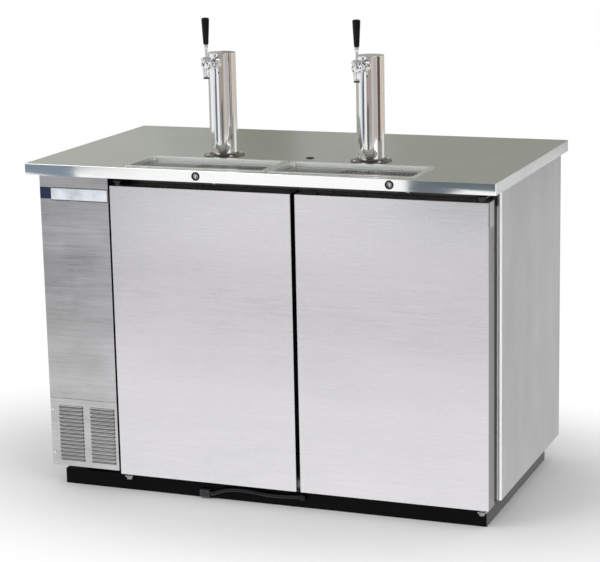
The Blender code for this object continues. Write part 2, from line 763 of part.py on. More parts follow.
def build_compartment():
    """The front panel, louvred grille, hinge post and floor that close the machine compartment."""
    steel = bpy.data.materials["steel"]
    grille_top = CABINET_BOTTOM + GRILLE_HEIGHT
    top = CABINET_TOP - GAP
    node(
        "front_panel",
        folded_channel(LEFT, PANEL_RIGHT, FRONT, PANEL_RETURN, grille_top + PANEL_SEAM, top),
        steel,
    )
    grille = node(
        "louvre_grille",
        folded_channel(LEFT, PANEL_RIGHT, FRONT, PANEL_RETURN, CABINET_BOTTOM, grille_top),
        steel,
    )
    hoods, mouths = bmesh.new(), bmesh.new()
    inner_rise, inner_height = LOUVRE_RISE - LOUVRE_WALL, LOUVRE_HEIGHT - LOUVRE_WALL
    skin = FRONT + SHEET / 2
    for column in range(2):
        left = LEFT + LOUVRE_LEFT_MARGIN + (LOUVRE_LENGTH + LOUVRE_MIDDLE_GAP) * column
        for row in range(LOUVRE_ROWS):
            z = grille_top - LOUVRE_TOP_MARGIN - LOUVRE_PITCH * row - LOUVRE_HEIGHT
            outer = [(skin, 0), (skin, LOUVRE_HEIGHT), *louvre_arc(LOUVRE_HEIGHT, LOUVRE_RISE, FRONT)]
            prism(hoods, [(y, z + dz) for y, dz in outer], 0, left, left + LOUVRE_LENGTH)
            far = FRONT + SHEET + OVERRUN
            low = -LOUVRE_WALL / 2
            inner = louvre_arc(inner_height, inner_rise, FRONT)
            inner = [(far, low), (far, inner_height), *inner, (FRONT - inner_rise, low)]
            prism(
                mouths,
                [(y, z + dz) for y, dz in inner],
                0,
                left + LOUVRE_WALL,
                left + LOUVRE_LENGTH - LOUVRE_WALL,
            )
    join(grille, hoods)
    cut(grille, mouths)

    post = bmesh.new()
    x = PANEL_RIGHT - SHEET - GAP
    back = CABINET_FRONT - GAP
    outline = [
        (x - SHEET, FRONT + SHEET + GAP * 2),
        (x, FRONT + SHEET + GAP * 2),
        (x, back - SHEET),
        (x + POST_LEG, back - SHEET),
        (x + POST_LEG, back),
        (x - SHEET, back),
    ]
    prism(post, outline, 2, CABINET_BOTTOM, top)
    node("hinge_post", post, bpy.data.materials["steel_dark"])


def fan(name, centre, radius, bore):
    """A hub with twisted blades that turns on a motor shaft along Y."""
    bm = bmesh.new()
    hub = [(-FAN_HUB_DEPTH / 2, FAN_HUB_RADIUS), (FAN_HUB_DEPTH / 2, FAN_HUB_RADIUS)]
    turned(bm, hub, Vector(), Y_AXIS, SMALL_STEPS)
    made = node(name, bm, bpy.data.materials["dark_plastic"])
    root = FAN_HUB_RADIUS * FAN_BLADE_ROOT_SHARE
    width = radius * FAN_BLADE_SPAN_SHARE / 2
    for index in range(FAN_BLADES):
        blade = bmesh.new()
        outline = [
            (root, -FAN_HUB_RADIUS / 2),
            (radius - width / 2, -width),
            (radius, 0),
            (radius - width / 2, width),
            (root, FAN_HUB_RADIUS / 2),
        ]
        prism(blade, outline, 1, -FAN_BLADE_SHEET / 2, FAN_BLADE_SHEET / 2)
        twist = Matrix.Rotation(FAN_BLADE_PITCH, 4, "X")
        turn = Matrix.Rotation(math.tau * index / FAN_BLADES, 4, "Y")
        bmesh.ops.transform(blade, matrix=turn @ twist, verts=blade.verts)
        join(made, blade)
    cut(made, drilled([(0, 0)], bore, 1, -FAN_HUB_DEPTH, FAN_HUB_DEPTH, SMALL_STEPS))
    for modifier in made.modifiers:
        modifier.object.parent = made
    empty = bpy.data.objects.new(name + "_axis", None)
    empty.location = centre
    bpy.context.scene.collection.objects.link(empty)
    made.parent = empty
    return made


def motor(bm, centre):
    """A motor can behind a fan, with its shaft through the hub."""
    start = FAN_HUB_DEPTH / 2 + FAN_CLEARANCE
    profile = [
        (-FAN_HUB_DEPTH / 2, MOTOR_SHAFT_RADIUS),
        (start, MOTOR_SHAFT_RADIUS),
        (start, MOTOR_RADIUS),
        (start + MOTOR_DEPTH, MOTOR_RADIUS),
    ]
    turned(bm, profile, centre, Y_AXIS, ROUND_STEPS)


def build_machine():
    """The condensing unit: coil behind the grille, fan and shroud, compressor and pipes."""
    middle = (LEFT + PANEL_RIGHT) / 2
    floor = CABINET_BOTTOM + GAP
    near = FRONT + PANEL_RETURN + COIL_SETBACK
    coil = node(
        "condenser_coil",
        boxes(
            (
                (middle - COIL_WIDTH / 2, near, floor),
                (middle + COIL_WIDTH / 2, near + COIL_DEPTH, floor + COIL_HEIGHT),
            )
        ),
        bpy.data.materials["aluminium"],
    )
    fins = bmesh.new()
    pitch = COIL_WIDTH / (COIL_FINS * 2 + 1)
    for index in range(COIL_FINS):
        x = middle - COIL_WIDTH / 2 + pitch * (index * 2 + 1)
        low, high = floor + COIL_FIN_DEPTH, floor + COIL_HEIGHT - COIL_FIN_DEPTH
        box(fins, (x, near - OVERRUN, low), (x + pitch, near + COIL_FIN_DEPTH, high))
    cut(coil, fins)

    centre = Vector((middle, near + COIL_DEPTH + GAP + SHROUD_DEPTH / 2, floor + COIL_HEIGHT / 2))
    shroud_low = (middle - COIL_WIDTH / 2, near + COIL_DEPTH + GAP, floor)
    shroud_high = (middle + COIL_WIDTH / 2, near + COIL_DEPTH + GAP + SHROUD_DEPTH, floor + COIL_HEIGHT)
    shroud = node("fan_shroud", boxes((shroud_low, shroud_high)), bpy.data.materials["black_paint"])
    ring = FAN_RADIUS + FAN_CLEARANCE
    hole = drilled([(centre.x, centre.z)], ring, 1, shroud_low[1] - OVERRUN, shroud_high[1] + OVERRUN)
    cut(shroud, hole)
    strut = bmesh.new()
    near_y = shroud_high[1] - SHROUD_SHEET
    strut_y = centre.y + FAN_HUB_DEPTH / 2 + FAN_CLEARANCE + MOTOR_DEPTH / 2
    low = floor + MOTOR_STRUT / 2
    outline = [
        (near_y, low),
        (strut_y, low),
        (strut_y, centre.z),
        (strut_y - MOTOR_STRUT, centre.z),
        (strut_y - MOTOR_STRUT, low + MOTOR_STRUT),
        (near_y, low + MOTOR_STRUT),
    ]
    prism(strut, outline, 0, middle - MOTOR_STRUT / 2, middle + MOTOR_STRUT / 2)
    join(shroud, strut)
    fan_motor = bmesh.new()
    motor(fan_motor, centre)
    join(shroud, fan_motor)
    fan("condenser_fan", centre, FAN_RADIUS, MOTOR_SHAFT_RADIUS + SHANK_PLAY)

    compressor_y = FRONT + COMPRESSOR_SETBACK
    can = bmesh.new()
    dome = COMPRESSOR_HEIGHT * COMPRESSOR_DOME_SHARE
    profile = []
    for step in range(COMPRESSOR_DOME_STEPS + 1):
        angle = math.pi / 2 * step / COMPRESSOR_DOME_STEPS
        profile.append((dome * (1 - math.cos(angle)), COMPRESSOR_RADIUS * math.sin(angle)))
    upper = [(COMPRESSOR_HEIGHT - along, radius) for along, radius in reversed(profile)]
    seam_low = (COMPRESSOR_HEIGHT - COMPRESSOR_SEAM_HEIGHT) / 2
    seam_high = seam_low + COMPRESSOR_SEAM_HEIGHT
    seam = COMPRESSOR_RADIUS + COMPRESSOR_SEAM_STAND
    profile += [(seam_low, COMPRESSOR_RADIUS), (seam_low, seam)]
    profile += [(seam_high, seam), (seam_high, COMPRESSOR_RADIUS), *upper]
    turned(can, profile, (middle, compressor_y, floor + COMPRESSOR_FOOT / 2), Z_AXIS, ROUND_STEPS)
    compressor = node("compressor", can, bpy.data.materials["black_paint"], smooth=True)
    half = COMPRESSOR_FOOT_HALF
    feet = boxes(
        (
            (middle - half, compressor_y - half, floor),
            (middle + half, compressor_y + half, floor + COMPRESSOR_FOOT),
        )
    )
    join(compressor, feet)
    cover = bmesh.new()
    low = floor + COMPRESSOR_FOOT + TERMINAL_LIFT
    far = compressor_y + COMPRESSOR_RADIUS + TERMINAL_REACH
    verts = box(
        cover,
        (middle - TERMINAL_WIDTH / 2, compressor_y + COMPRESSOR_RADIUS / 2, low),
        (middle + TERMINAL_WIDTH / 2, far, low + TERMINAL_HEIGHT),
    )
    rounded(cover, upright_edges(verts, 1), TERMINAL_CORNER)
    join(compressor, cover)

    top = floor + COMPRESSOR_FOOT / 2 + COMPRESSOR_HEIGHT
    coil_top = floor + COIL_HEIGHT + GAP
    reach = COIL_WIDTH / 4
    end_y = near + COIL_DEPTH / 2
    pipe = smooth_path(
        [
            (middle, compressor_y, top + PIPE_START_RISE),
            (middle, compressor_y, top + PIPE_BEND_RISE),
            (middle + reach / 2, compressor_y - COMPRESSOR_RADIUS, top + PIPE_SLOPE_RISE),
            (middle + reach, end_y + COIL_DEPTH, coil_top + PIPE_CREST_RISE),
            (middle + reach, end_y, coil_top + PIPE_DROP_RISE),
            (middle + reach, end_y, coil_top + PIPE_RADIUS),
        ],
        PIPE_STEPS,
    )
    pipe = [(middle, compressor_y, top + GAP), *pipe, (middle + reach, end_y, coil_top)]
    node("refrigerant_pipe", tube(pipe, PIPE_RADIUS, PIPE_SIDES), bpy.data.materials["copper"], smooth=True)


def build_evaporator():
    """The blower case high at the back of the keg space, with its motor, and the fan in its mouth."""
    inside = LINER_SHEET + GAP * 2
    left = CAVITY_LEFT + inside
    far = CAVITY_BACK - inside - EVAPORATOR_BACK_GAP
    top = CAVITY_TOP - EVAPORATOR_DROP
    low = Vector((left, far - EVAPORATOR_DEPTH, top - EVAPORATOR_HEIGHT))
    high = Vector((left + EVAPORATOR_WIDTH, far, top))
    case = bmesh.new()
    verts = box(case, low, high)
    outer = [e for e in upright_edges(verts, 0) if e.verts[0].co.y < far - EVAPORATOR_DEPTH / 2]
    rounded(case, outer, EVAPORATOR_WALL * 4)
    case = node("evaporator_case", case, bpy.data.materials["liner_steel"])
    wall = Vector((EVAPORATOR_WALL, EVAPORATOR_WALL, EVAPORATOR_WALL))
    cut(case, boxes((low + wall, high - wall)))
    centre = Vector(
        (
            left + EVAPORATOR_WIDTH * EVAPORATOR_FAN_SHARE,
            low.y + FAN_CLEARANCE * 2 + FAN_HUB_DEPTH / 2,
            (low.z + high.z) / 2,
        )
    )
    mouth = EVAPORATOR_FAN_RADIUS + FAN_CLEARANCE
    cut(case, drilled([(centre.x, centre.z)], mouth, 1, low.y - OVERRUN, centre.y))
    slots = bmesh.new()
    for index in range(EVAPORATOR_SLOTS):
        z = low.z + EVAPORATOR_SLOT_PITCH * (index + 1) + EVAPORATOR_SLOT
        box(
            slots,
            (centre.x + mouth + EVAPORATOR_SLOT, low.y - OVERRUN, z),
            (high.x - EVAPORATOR_SLOT * 3, low.y + EVAPORATOR_WALL + OVERRUN, z + EVAPORATOR_SLOT),
        )
    cut(case, slots)
    fan_motor = bmesh.new()
    motor(fan_motor, centre)
    join(case, fan_motor)
    strut_near = centre.y + FAN_HUB_DEPTH + FAN_CLEARANCE + MOTOR_STRUT
    strut = boxes(
        (
            (centre.x - MOTOR_STRUT, strut_near, centre.z - MOTOR_STRUT),
            (centre.x + MOTOR_STRUT, high.y - EVAPORATOR_WALL / 2, centre.z + MOTOR_STRUT),
        )
    )
    join(case, strut)
    fan("evaporator_fan", centre, EVAPORATOR_FAN_RADIUS, MOTOR_SHAFT_RADIUS + SHANK_PLAY)


# Worktop, trays and locks


def tray_bounds(middle, play):
    """The plan of a tray's inside, grown by play: low x, low y, high x, high y."""
    return (
        middle - TRAY_LENGTH / 2 - play,
        TRAY_Y - play,
        middle + TRAY_LENGTH / 2 + play,
        TRAY_BACK + play,
    )


def build_worktop():
    """A steel sheet folded down at all four sides, over a board with bays for the trays and the locks."""
    half = WORKTOP_WIDTH / 2
    top = bmesh.new()
    verts = box(top, (-half, WORKTOP_FRONT, CABINET_TOP), (half, WORKTOP_BACK, WORKTOP_HEIGHT))
    crown = {
        edge
        for vert in verts
        for edge in vert.link_edges
        if all(abs(v.co.z - WORKTOP_HEIGHT) < WELD for v in edge.verts)
    }
    rounded(top, list(crown) + upright_edges(verts), FOLD_RADIUS)
    worktop = node("worktop", top, bpy.data.materials["steel"])
    inner = half - SHEET
    cut(
        worktop,
        boxes(
            (
                (-inner, WORKTOP_FRONT + SHEET, CABINET_TOP - OVERRUN),
                (inner, WORKTOP_BACK - SHEET, WORKTOP_HEIGHT - SHEET),
            )
        ),
    )
    openings = bmesh.new()
    low, high = WORKTOP_HEIGHT - SHEET - OVERRUN, WORKTOP_HEIGHT + OVERRUN
    for middle in TRAY_MIDDLES:
        x0, y0, x1, y1 = tray_bounds(middle, SHEET + TRAY_CUTOUT_PLAY)
        verts = box(openings, (x0, y0, low), (x1, y1, high))
        rounded(openings, upright_edges(verts), TRAY_CORNER)
    cut(worktop, openings)
    cut(worktop, drilled([(x, COLUMN_Y) for x in COLUMN_MIDDLES], COLUMN_HOLE_RADIUS, 2, low, high))
    plug = [plug_place()]
    cut(worktop, drilled(plug, PLUG_STEM_RADIUS + GAP, 2, low, high))
    near, far = WORKTOP_FRONT - OVERRUN, WORKTOP_FRONT + SHEET + OVERRUN
    cut(worktop, drilled([(x, LOCK_Z) for x in LOCK_XS], LOCK_BARREL_RADIUS + GAP, 1, near, far))

    floor, ceiling = CABINET_TOP, WORKTOP_HEIGHT - SHEET - GAP
    edge = SHEET + BATTEN_CLEARANCE
    side = half - edge
    near, far = WORKTOP_FRONT + edge, WORKTOP_BACK - edge
    tray = [tray_bounds(middle, SHEET + TRAY_CUTOUT_PLAY) for middle in TRAY_MIDDLES]
    frame = node(
        "worktop_battens",
        boxes(((-side, near, floor), (side, far, ceiling))),
        bpy.data.materials["plywood"],
    )
    low, high = floor - OVERRUN, ceiling + OVERRUN
    bays = boxes(*(((x0, y0, low), (x1, y1, high)) for x0, y0, x1, y1 in tray))
    cut(frame, bays)
    near_bay = near - OVERRUN
    far_bay = WORKTOP_FRONT + DOOR_SETBACK
    bays = boxes(
        *(((x - LOCK_BAY_LEFT, near_bay, low), (x + LOCK_BAY_RIGHT, far_bay, high)) for x in LOCK_XS)
    )
    cut(frame, bays)
    cut(frame, drilled([(x, COLUMN_Y) for x in COLUMN_MIDDLES], COLUMN_HOLE_RADIUS, 2, low, high))
    stem = PLUG_STEM_RADIUS + GAP
    cut(frame, drilled(plug, stem, 2, ceiling - PLUG_STEM, ceiling + OVERRUN))


def plug_place():
    """Where the plug between the trays sits, as x and y."""
    return PLUG_PLACE[0], WORKTOP_FRONT + PLUG_PLACE[1]


def build_plug():
    """The domed plug that closes the spare hole in the worktop."""
    bm = bmesh.new()
    profile = [(-PLUG_STEM, PLUG_STEM_RADIUS), (0, PLUG_STEM_RADIUS)]
    profile += [(PLUG_HEIGHT * up, PLUG_RADIUS * out) for up, out in PLUG_DOME_SHARES]
    turned(bm, profile, (*plug_place(), WORKTOP_HEIGHT + GAP), Z_AXIS, ROUND_STEPS)
    node("hole_plug", bm, bpy.data.materials["dark_plastic"], smooth=True)


def build_tray(side, middle):
    """A sunk steel tray with a rim on the worktop and a drain tail, and its lift-out slotted grid."""
    bm = bmesh.new()
    x0, y0, x1, y1 = tray_bounds(middle, SHEET)
    verts = box(bm, (x0, y0, TRAY_FLOOR - SHEET), (x1, y1, WORKTOP_HEIGHT + GAP + SHEET / 2))
    rounded(bm, upright_edges(verts), TRAY_CORNER + SHEET)
    tray = node("drip_tray_" + side, bm, bpy.data.materials["steel"])
    rim = bmesh.new()
    x0, y0, x1, y1 = tray_bounds(middle, SHEET + TRAY_RIM)
    low = WORKTOP_HEIGHT + GAP
    verts = box(rim, (x0, y0, low), (x1, y1, low + SHEET))
    rounded(rim, upright_edges(verts), TRAY_CORNER)
    join(tray, rim)
    drain = (middle, TRAY_Y + TRAY_DRAIN_SETBACK)
    tail_end = CAVITY_TOP - TRAY_DRAIN_TAIL
    join(tray, drilled([drain], TRAY_DRAIN_RADIUS, 2, tail_end, TRAY_FLOOR - SHEET / 2))
    hollow = bmesh.new()
    x0, y0, x1, y1 = tray_bounds(middle, 0)
    verts = box(hollow, (x0, y0, TRAY_FLOOR), (x1, y1, WORKTOP_HEIGHT + OVERRUN))
    rounded(hollow, upright_edges(verts), TRAY_CORNER)
    cut(tray, hollow)
    bore = TRAY_DRAIN_RADIUS - TRAY_DRAIN_WALL
    cut(tray, drilled([drain], bore, 2, tail_end - OVERRUN, TRAY_FLOOR + OVERRUN))

    x0, y0, x1, y1 = tray_bounds(middle, -GRID_PLAY)
    top = WORKTOP_HEIGHT - GRID_SINK
    bm = bmesh.new()
    foot = TRAY_FLOOR + GAP
    outline = [
        (x0, foot),
        (x0, top),
        (x1, top),
        (x1, foot),
        (x1 - GRID_SHEET, foot),
        (x1 - GRID_SHEET, top - GRID_SHEET),
        (x0 + GRID_SHEET, top - GRID_SHEET),
        (x0 + GRID_SHEET, foot),
    ]
    prism(bm, outline, 1, y0 + TRAY_CORNER, y1 - TRAY_CORNER)
    grid = node("tray_grid_" + side, bm, bpy.data.materials["steel"])
    edges = boxes(
        ((x0 + TRAY_CORNER, y0, top - GRID_SHEET), (x1 - TRAY_CORNER, y1, top)),
    )
    join(grid, edges)
    slots = bmesh.new()
    first = middle + SLOT_OFFSET - SLOT_PITCH * (SLOT_COLUMNS - 1) / 2
    row_first = (y0 + y1) / 2 - SLOT_ROW_PITCH * (SLOT_ROWS - 1) / 2
    for row in range(SLOT_ROWS):
        for column in range(SLOT_COLUMNS):
            place = Vector((first + SLOT_PITCH * column, row_first + SLOT_ROW_PITCH * row, top))
            verts = box(
                slots,
                (-SLOT_WIDTH / 2, -SLOT_LENGTH / 2, -OVERRUN),
                (SLOT_WIDTH / 2, SLOT_LENGTH / 2, OVERRUN),
            )
            turn = Matrix.Translation(place) @ Matrix.Rotation(-SLOT_SLANT, 4, "Z")
            bmesh.ops.transform(slots, matrix=turn, verts=verts)
    cut(grid, slots)
    pivot("grid_lift_" + side, (middle, (y0 + y1) / 2, top), grid)


def build_locks():
    """A barrel in the worktop's lip above each door, and the turning plug with its cranked cam."""
    for side, x in zip(SIDES, LOCK_XS):
        barrel = bmesh.new()
        profile = [
            (-LOCK_FACE, LOCK_PLUG_RADIUS + LOCK_PLAY),
            (-LOCK_FACE, LOCK_FACE_RADIUS - LOCK_FACE / 2),
            (-GAP - LOCK_FACE / 2, LOCK_FACE_RADIUS),
            (-GAP, LOCK_FACE_RADIUS),
            (-GAP, LOCK_BARREL_RADIUS),
            (LOCK_BARREL_LENGTH, LOCK_BARREL_RADIUS),
            (LOCK_BARREL_LENGTH, LOCK_PLUG_RADIUS + LOCK_PLAY),
        ]
        turned(barrel, profile, (x, WORKTOP_FRONT, LOCK_Z), Y_AXIS, ROUND_STEPS, ring=True)
        node("lock_barrel_" + side, barrel, bpy.data.materials["chrome"], smooth=True)
        bm = bmesh.new()
        axis = Vector((x, WORKTOP_FRONT, LOCK_Z))
        start = LOCK_BARREL_LENGTH + LOCK_PLAY
        profile = [(-LOCK_FACE / 2, LOCK_PLUG_RADIUS), (start + CAM_SHEET / 2, LOCK_PLUG_RADIUS)]
        turned(bm, profile, axis, Y_AXIS, ROUND_STEPS)
        plug = node("lock_plug_" + side, bm, bpy.data.materials["chrome"], smooth=True)
        arm = bmesh.new()
        verts = box(
            arm,
            (-CAM_WIDTH / 2, start, -CAM_WIDTH / 2),
            (CAM_ARM + CAM_FINGER_RADIUS, start + CAM_SHEET, CAM_WIDTH / 2),
        )
        rounded(arm, upright_edges(verts, 1), CAM_WIDTH / 4, 2)
        turn = Matrix.Translation(axis) @ Matrix.Rotation(CAM_REST, 4, "Y")
        bmesh.ops.transform(arm, matrix=turn, verts=arm.verts)
        join(plug, arm)
        finger = bmesh.new()
        place = turn @ Vector((CAM_ARM, 0, 0))
        reach = DOOR_SETBACK - CAM_FINGER_CLEARANCE
        profile = [(start + CAM_SHEET / 2, CAM_FINGER_RADIUS), (reach, CAM_FINGER_RADIUS)]
        turned(finger, profile, place, Y_AXIS, SMALL_STEPS)
        join(plug, finger)
        far = WORKTOP_FRONT - LOCK_FACE / 2 + KEYWAY_DEPTH
        keyway = boxes(
            (
                (x - KEYWAY_WIDTH / 2, WORKTOP_FRONT - LOCK_FACE - OVERRUN, LOCK_Z - KEYWAY_LENGTH / 2),
                (x + KEYWAY_WIDTH / 2, far, LOCK_Z + KEYWAY_LENGTH / 2),
            )
        )
        cut(plug, keyway)
        pivot("lock_axis_" + side, axis, plug)


# Doors


def build_door(side, left, hinge_x):
    """A foamed door in a folded steel skin, with gasket, pull channel along its top and hinge cheek."""
    right = left + DOOR_WIDTH
    outward = 1 if hinge_x > (left + right) / 2 else -1
    pull_low = DOOR_TOP - PULL_HEIGHT
    bm = bmesh.new()
    verts = box(bm, (left, FRONT, DOOR_BOTTOM), (right, DOOR_BACK - LINER_STEP, DOOR_TOP))
    front_edges = {
        edge
        for vert in verts
        for edge in vert.link_edges
        if all(abs(v.co.y - FRONT) < WELD for v in edge.verts)
    }
    rounded(bm, list(front_edges), SHEET)
    skin = node("door_skin_" + side, bm, bpy.data.materials["steel"])
    inner = (
        (left + SHEET, FRONT + SHEET, DOOR_BOTTOM + SHEET),
        (right - SHEET, DOOR_BACK + OVERRUN, DOOR_TOP + OVERRUN),
    )
    cut(skin, boxes(inner))
    pin_hole = HINGE_PIN_RADIUS + HINGE_PIN_PLAY
    pin = [(hinge_x, HINGE_Y)]
    low, high = DOOR_BOTTOM - OVERRUN, DOOR_BOTTOM + OVERRUN
    cut(skin, drilled(pin, pin_hole + SHEET, 2, low, high, SMALL_STEPS))
    edge_x = left if outward < 0 else right
    # The cheek reaches from inside the skin's sheet to a little outside it.
    ends = sorted((edge_x - outward * SHEET / 2, edge_x + outward * HINGE_CHEEK_STAND))
    near = FRONT + HINGE_CHEEK_STEP
    cheek = boxes(
        (
            (ends[0], near, DOOR_TOP - HINGE_CHEEK_HEIGHT),
            (ends[1], near + HINGE_CHEEK_DEPTH, DOOR_TOP - GAP),
        )
    )
    join(skin, cheek)

    inset = SHEET + GAP
    core = node(
        "door_core_" + side,
        boxes(
            (
                (left + inset, FRONT + inset, DOOR_BOTTOM + inset),
                (right - inset, DOOR_BACK - LINER_STEP, pull_low - GAP),
            )
        ),
        bpy.data.materials["liner_steel"],
    )
    raised = boxes(
        (
            (left + LINER_STEP, DOOR_BACK - LINER_STEP * 2, DOOR_BOTTOM + LINER_STEP),
            (right - LINER_STEP, DOOR_BACK, pull_low - LINER_STEP),
        )
    )
    join(core, raised)
    panel = bmesh.new()
    verts = box(
        panel,
        (left + LINER_MARGIN, DOOR_BACK - LINER_STEP / 2, DOOR_BOTTOM + LINER_MARGIN),
        (right - LINER_MARGIN, DOOR_BACK + LINER_STEP, pull_low - LINER_MARGIN),
    )
    rounded(panel, upright_edges(verts, 1), LINER_STEP * 2)
    join(core, panel)
    high = DOOR_BOTTOM + HINGE_PIN_REACH + OVERRUN
    cut(core, drilled(pin, pin_hole, 2, DOOR_BOTTOM - OVERRUN, high, SMALL_STEPS))

    pull = node(
        "door_pull_" + side,
        boxes(((left + inset, FRONT + inset, pull_low), (right - inset, DOOR_BACK, DOOR_TOP))),
        bpy.data.materials["dark_plastic"],
    )
    groove = bmesh.new()
    near = FRONT + inset + PULL_LIP
    verts = box(
        groove,
        (left + PULL_END, near, DOOR_TOP - PULL_GROOVE_DEPTH),
        (right - PULL_END, near + PULL_GROOVE, DOOR_TOP + OVERRUN),
    )
    rounded(groove, upright_edges(verts, 0), PULL_LIP / 3)
    cut(pull, groove)
    low = DOOR_TOP - HINGE_PIN_REACH - OVERRUN
    cut(pull, drilled(pin, pin_hole, 2, low, DOOR_TOP + OVERRUN, SMALL_STEPS))

    gasket = build_gasket(side, left, right)
    pivot("door_axis_" + side, (hinge_x, HINGE_Y, DOOR_BOTTOM), skin, core, pull, gasket)


def build_gasket(side, left, right):
    """A soft frame round the door's inner face: a base strip with a narrower magnet bead on it."""
    inner_top = DOOR_TOP - GASKET_INSET
    start = DOOR_BACK + GAP

    def ring(inset, width, near, far):
        low = (left + inset, near, DOOR_BOTTOM + inset)
        high = (right - inset, far, inner_top - inset + GASKET_INSET)
        solid = boxes((low, high))
        hole = boxes(
            (
                (low[0] + width, near - OVERRUN, low[2] + width),
                (high[0] - width, far + OVERRUN, high[2] - width),
            )
        )
        return solid, hole

    bm, hole = ring(GASKET_INSET, GASKET_WIDTH, start, start + GASKET_BEAD)
    gasket = node("door_gasket_" + side, bm, bpy.data.materials["rubber"])
    margin = (GASKET_WIDTH - GASKET_BEAD * 2) / 2
    low, high = start + GASKET_BEAD / 2, CABINET_FRONT - GAP
    bead, bead_hole = ring(GASKET_INSET + margin, GASKET_BEAD * 2, low, high)
    join(gasket, bead)
    cut(gasket, bead_hole)
    cut(gasket, hole)
    return gasket


def build_hinges(side, hinge_x):
    """The fixed brackets of one door: a plate under it and an angle over it, each with a pin."""
    half = HINGE_PLATE_WIDTH / 2
    nose = HINGE_Y - HINGE_PLATE_NOSE
    low = BASE_HEIGHT + GAP
    bm = bmesh.new()
    verts = box(bm, (hinge_x - half, nose, low), (hinge_x + half, CABINET_FRONT - GAP, low + HINGE_PLATE))
    rounded(bm, [e for e in upright_edges(verts) if e.verts[0].co.y < HINGE_Y], half / 2)
    lower = node("hinge_lower_" + side, bm, bpy.data.materials["chrome"])
    pin = bmesh.new()
    profile = [
        (low - HINGE_NUT_HEIGHT, HINGE_NUT_RADIUS - HINGE_NUT_CHAMFER),
        (low - HINGE_NUT_HEIGHT + HINGE_NUT_CHAMFER, HINGE_NUT_RADIUS),
        (low + HINGE_PLATE / 2, HINGE_NUT_RADIUS),
        (low + HINGE_PLATE / 2, HINGE_WASHER_RADIUS),
        (DOOR_BOTTOM - GAP, HINGE_WASHER_RADIUS),
        (DOOR_BOTTOM - GAP, HINGE_PIN_RADIUS),
        (DOOR_BOTTOM + HINGE_PIN_REACH, HINGE_PIN_RADIUS),
    ]
    turned(pin, profile, (hinge_x, HINGE_Y, 0), Z_AXIS, SMALL_STEPS)
    join(lower, pin)
    top = (DOOR_TOP + CABINET_TOP) / 2
    over = bmesh.new()
    verts = box(over, (hinge_x - half, nose, top - HINGE_PLATE), (hinge_x + half, HINGE_BACK, top))
    rounded(over, [e for e in upright_edges(verts) if e.verts[0].co.y < HINGE_Y], half / 2)
    upper = node("hinge_upper_" + side, over, bpy.data.materials["chrome"])
    foot = bmesh.new()
    low = (hinge_x - half, HINGE_BACK - HINGE_PLATE, top - HINGE_FOOT)
    box(foot, low, (hinge_x + half, HINGE_BACK, top - HINGE_PLATE / 2))
    join(upper, foot)
    pin = bmesh.new()
    profile = [
        (DOOR_TOP - HINGE_PIN_REACH, HINGE_PIN_RADIUS),
        (DOOR_TOP + GAP, HINGE_PIN_RADIUS),
        (DOOR_TOP + GAP, HINGE_WASHER_RADIUS),
        (top - HINGE_PLATE / 2, HINGE_WASHER_RADIUS),
    ]
    turned(pin, profile, (hinge_x, HINGE_Y, 0), Z_AXIS, SMALL_STEPS)
    join(upper, pin)


# Columns and taps


def line_offset():
    """How far behind a column's middle the beer line hangs."""
    return -COLUMN_RADIUS + SHANK_INSIDE + LINE_BEND * 2


def build_column(side, x):
    """A polished tube on a round foot, closed at its top."""
    bm = bmesh.new()
    bore = COLUMN_RADIUS - COLUMN_WALL
    top = COLUMN_HEIGHT - GAP
    fillet_middle = FLANGE_FILLET * FLANGE_FILLET_MIDDLE_SHARE
    profile = [
        (0, bore),
        (0, FLANGE_RADIUS),
        (FLANGE_HEIGHT / 2, FLANGE_RADIUS),
        (FLANGE_HEIGHT, FLANGE_RADIUS - FLANGE_HEIGHT / 2),
        (FLANGE_HEIGHT, COLUMN_RADIUS + FLANGE_FILLET),
        (FLANGE_HEIGHT + fillet_middle, COLUMN_RADIUS + fillet_middle),
        (FLANGE_HEIGHT + FLANGE_FILLET, COLUMN_RADIUS),
        (top - COLUMN_CAP / 2, COLUMN_RADIUS),
        (top, COLUMN_RADIUS - COLUMN_CAP / 2),
        (top, 0),
        (top - COLUMN_CAP, 0),
        (top - COLUMN_CAP, bore),
    ]
    turned(bm, profile, (x, COLUMN_Y, WORKTOP_HEIGHT + GAP), Z_AXIS, FINE_STEPS, ring=True)
    column = node("column_" + side, bm, bpy.data.materials["polished_steel"], smooth=True)
    near, far = COLUMN_Y - COLUMN_RADIUS - OVERRUN, COLUMN_Y
    cut(column, drilled([(x, TAP_Z)], SHANK_RADIUS + SHANK_PLAY, 1, near, far))


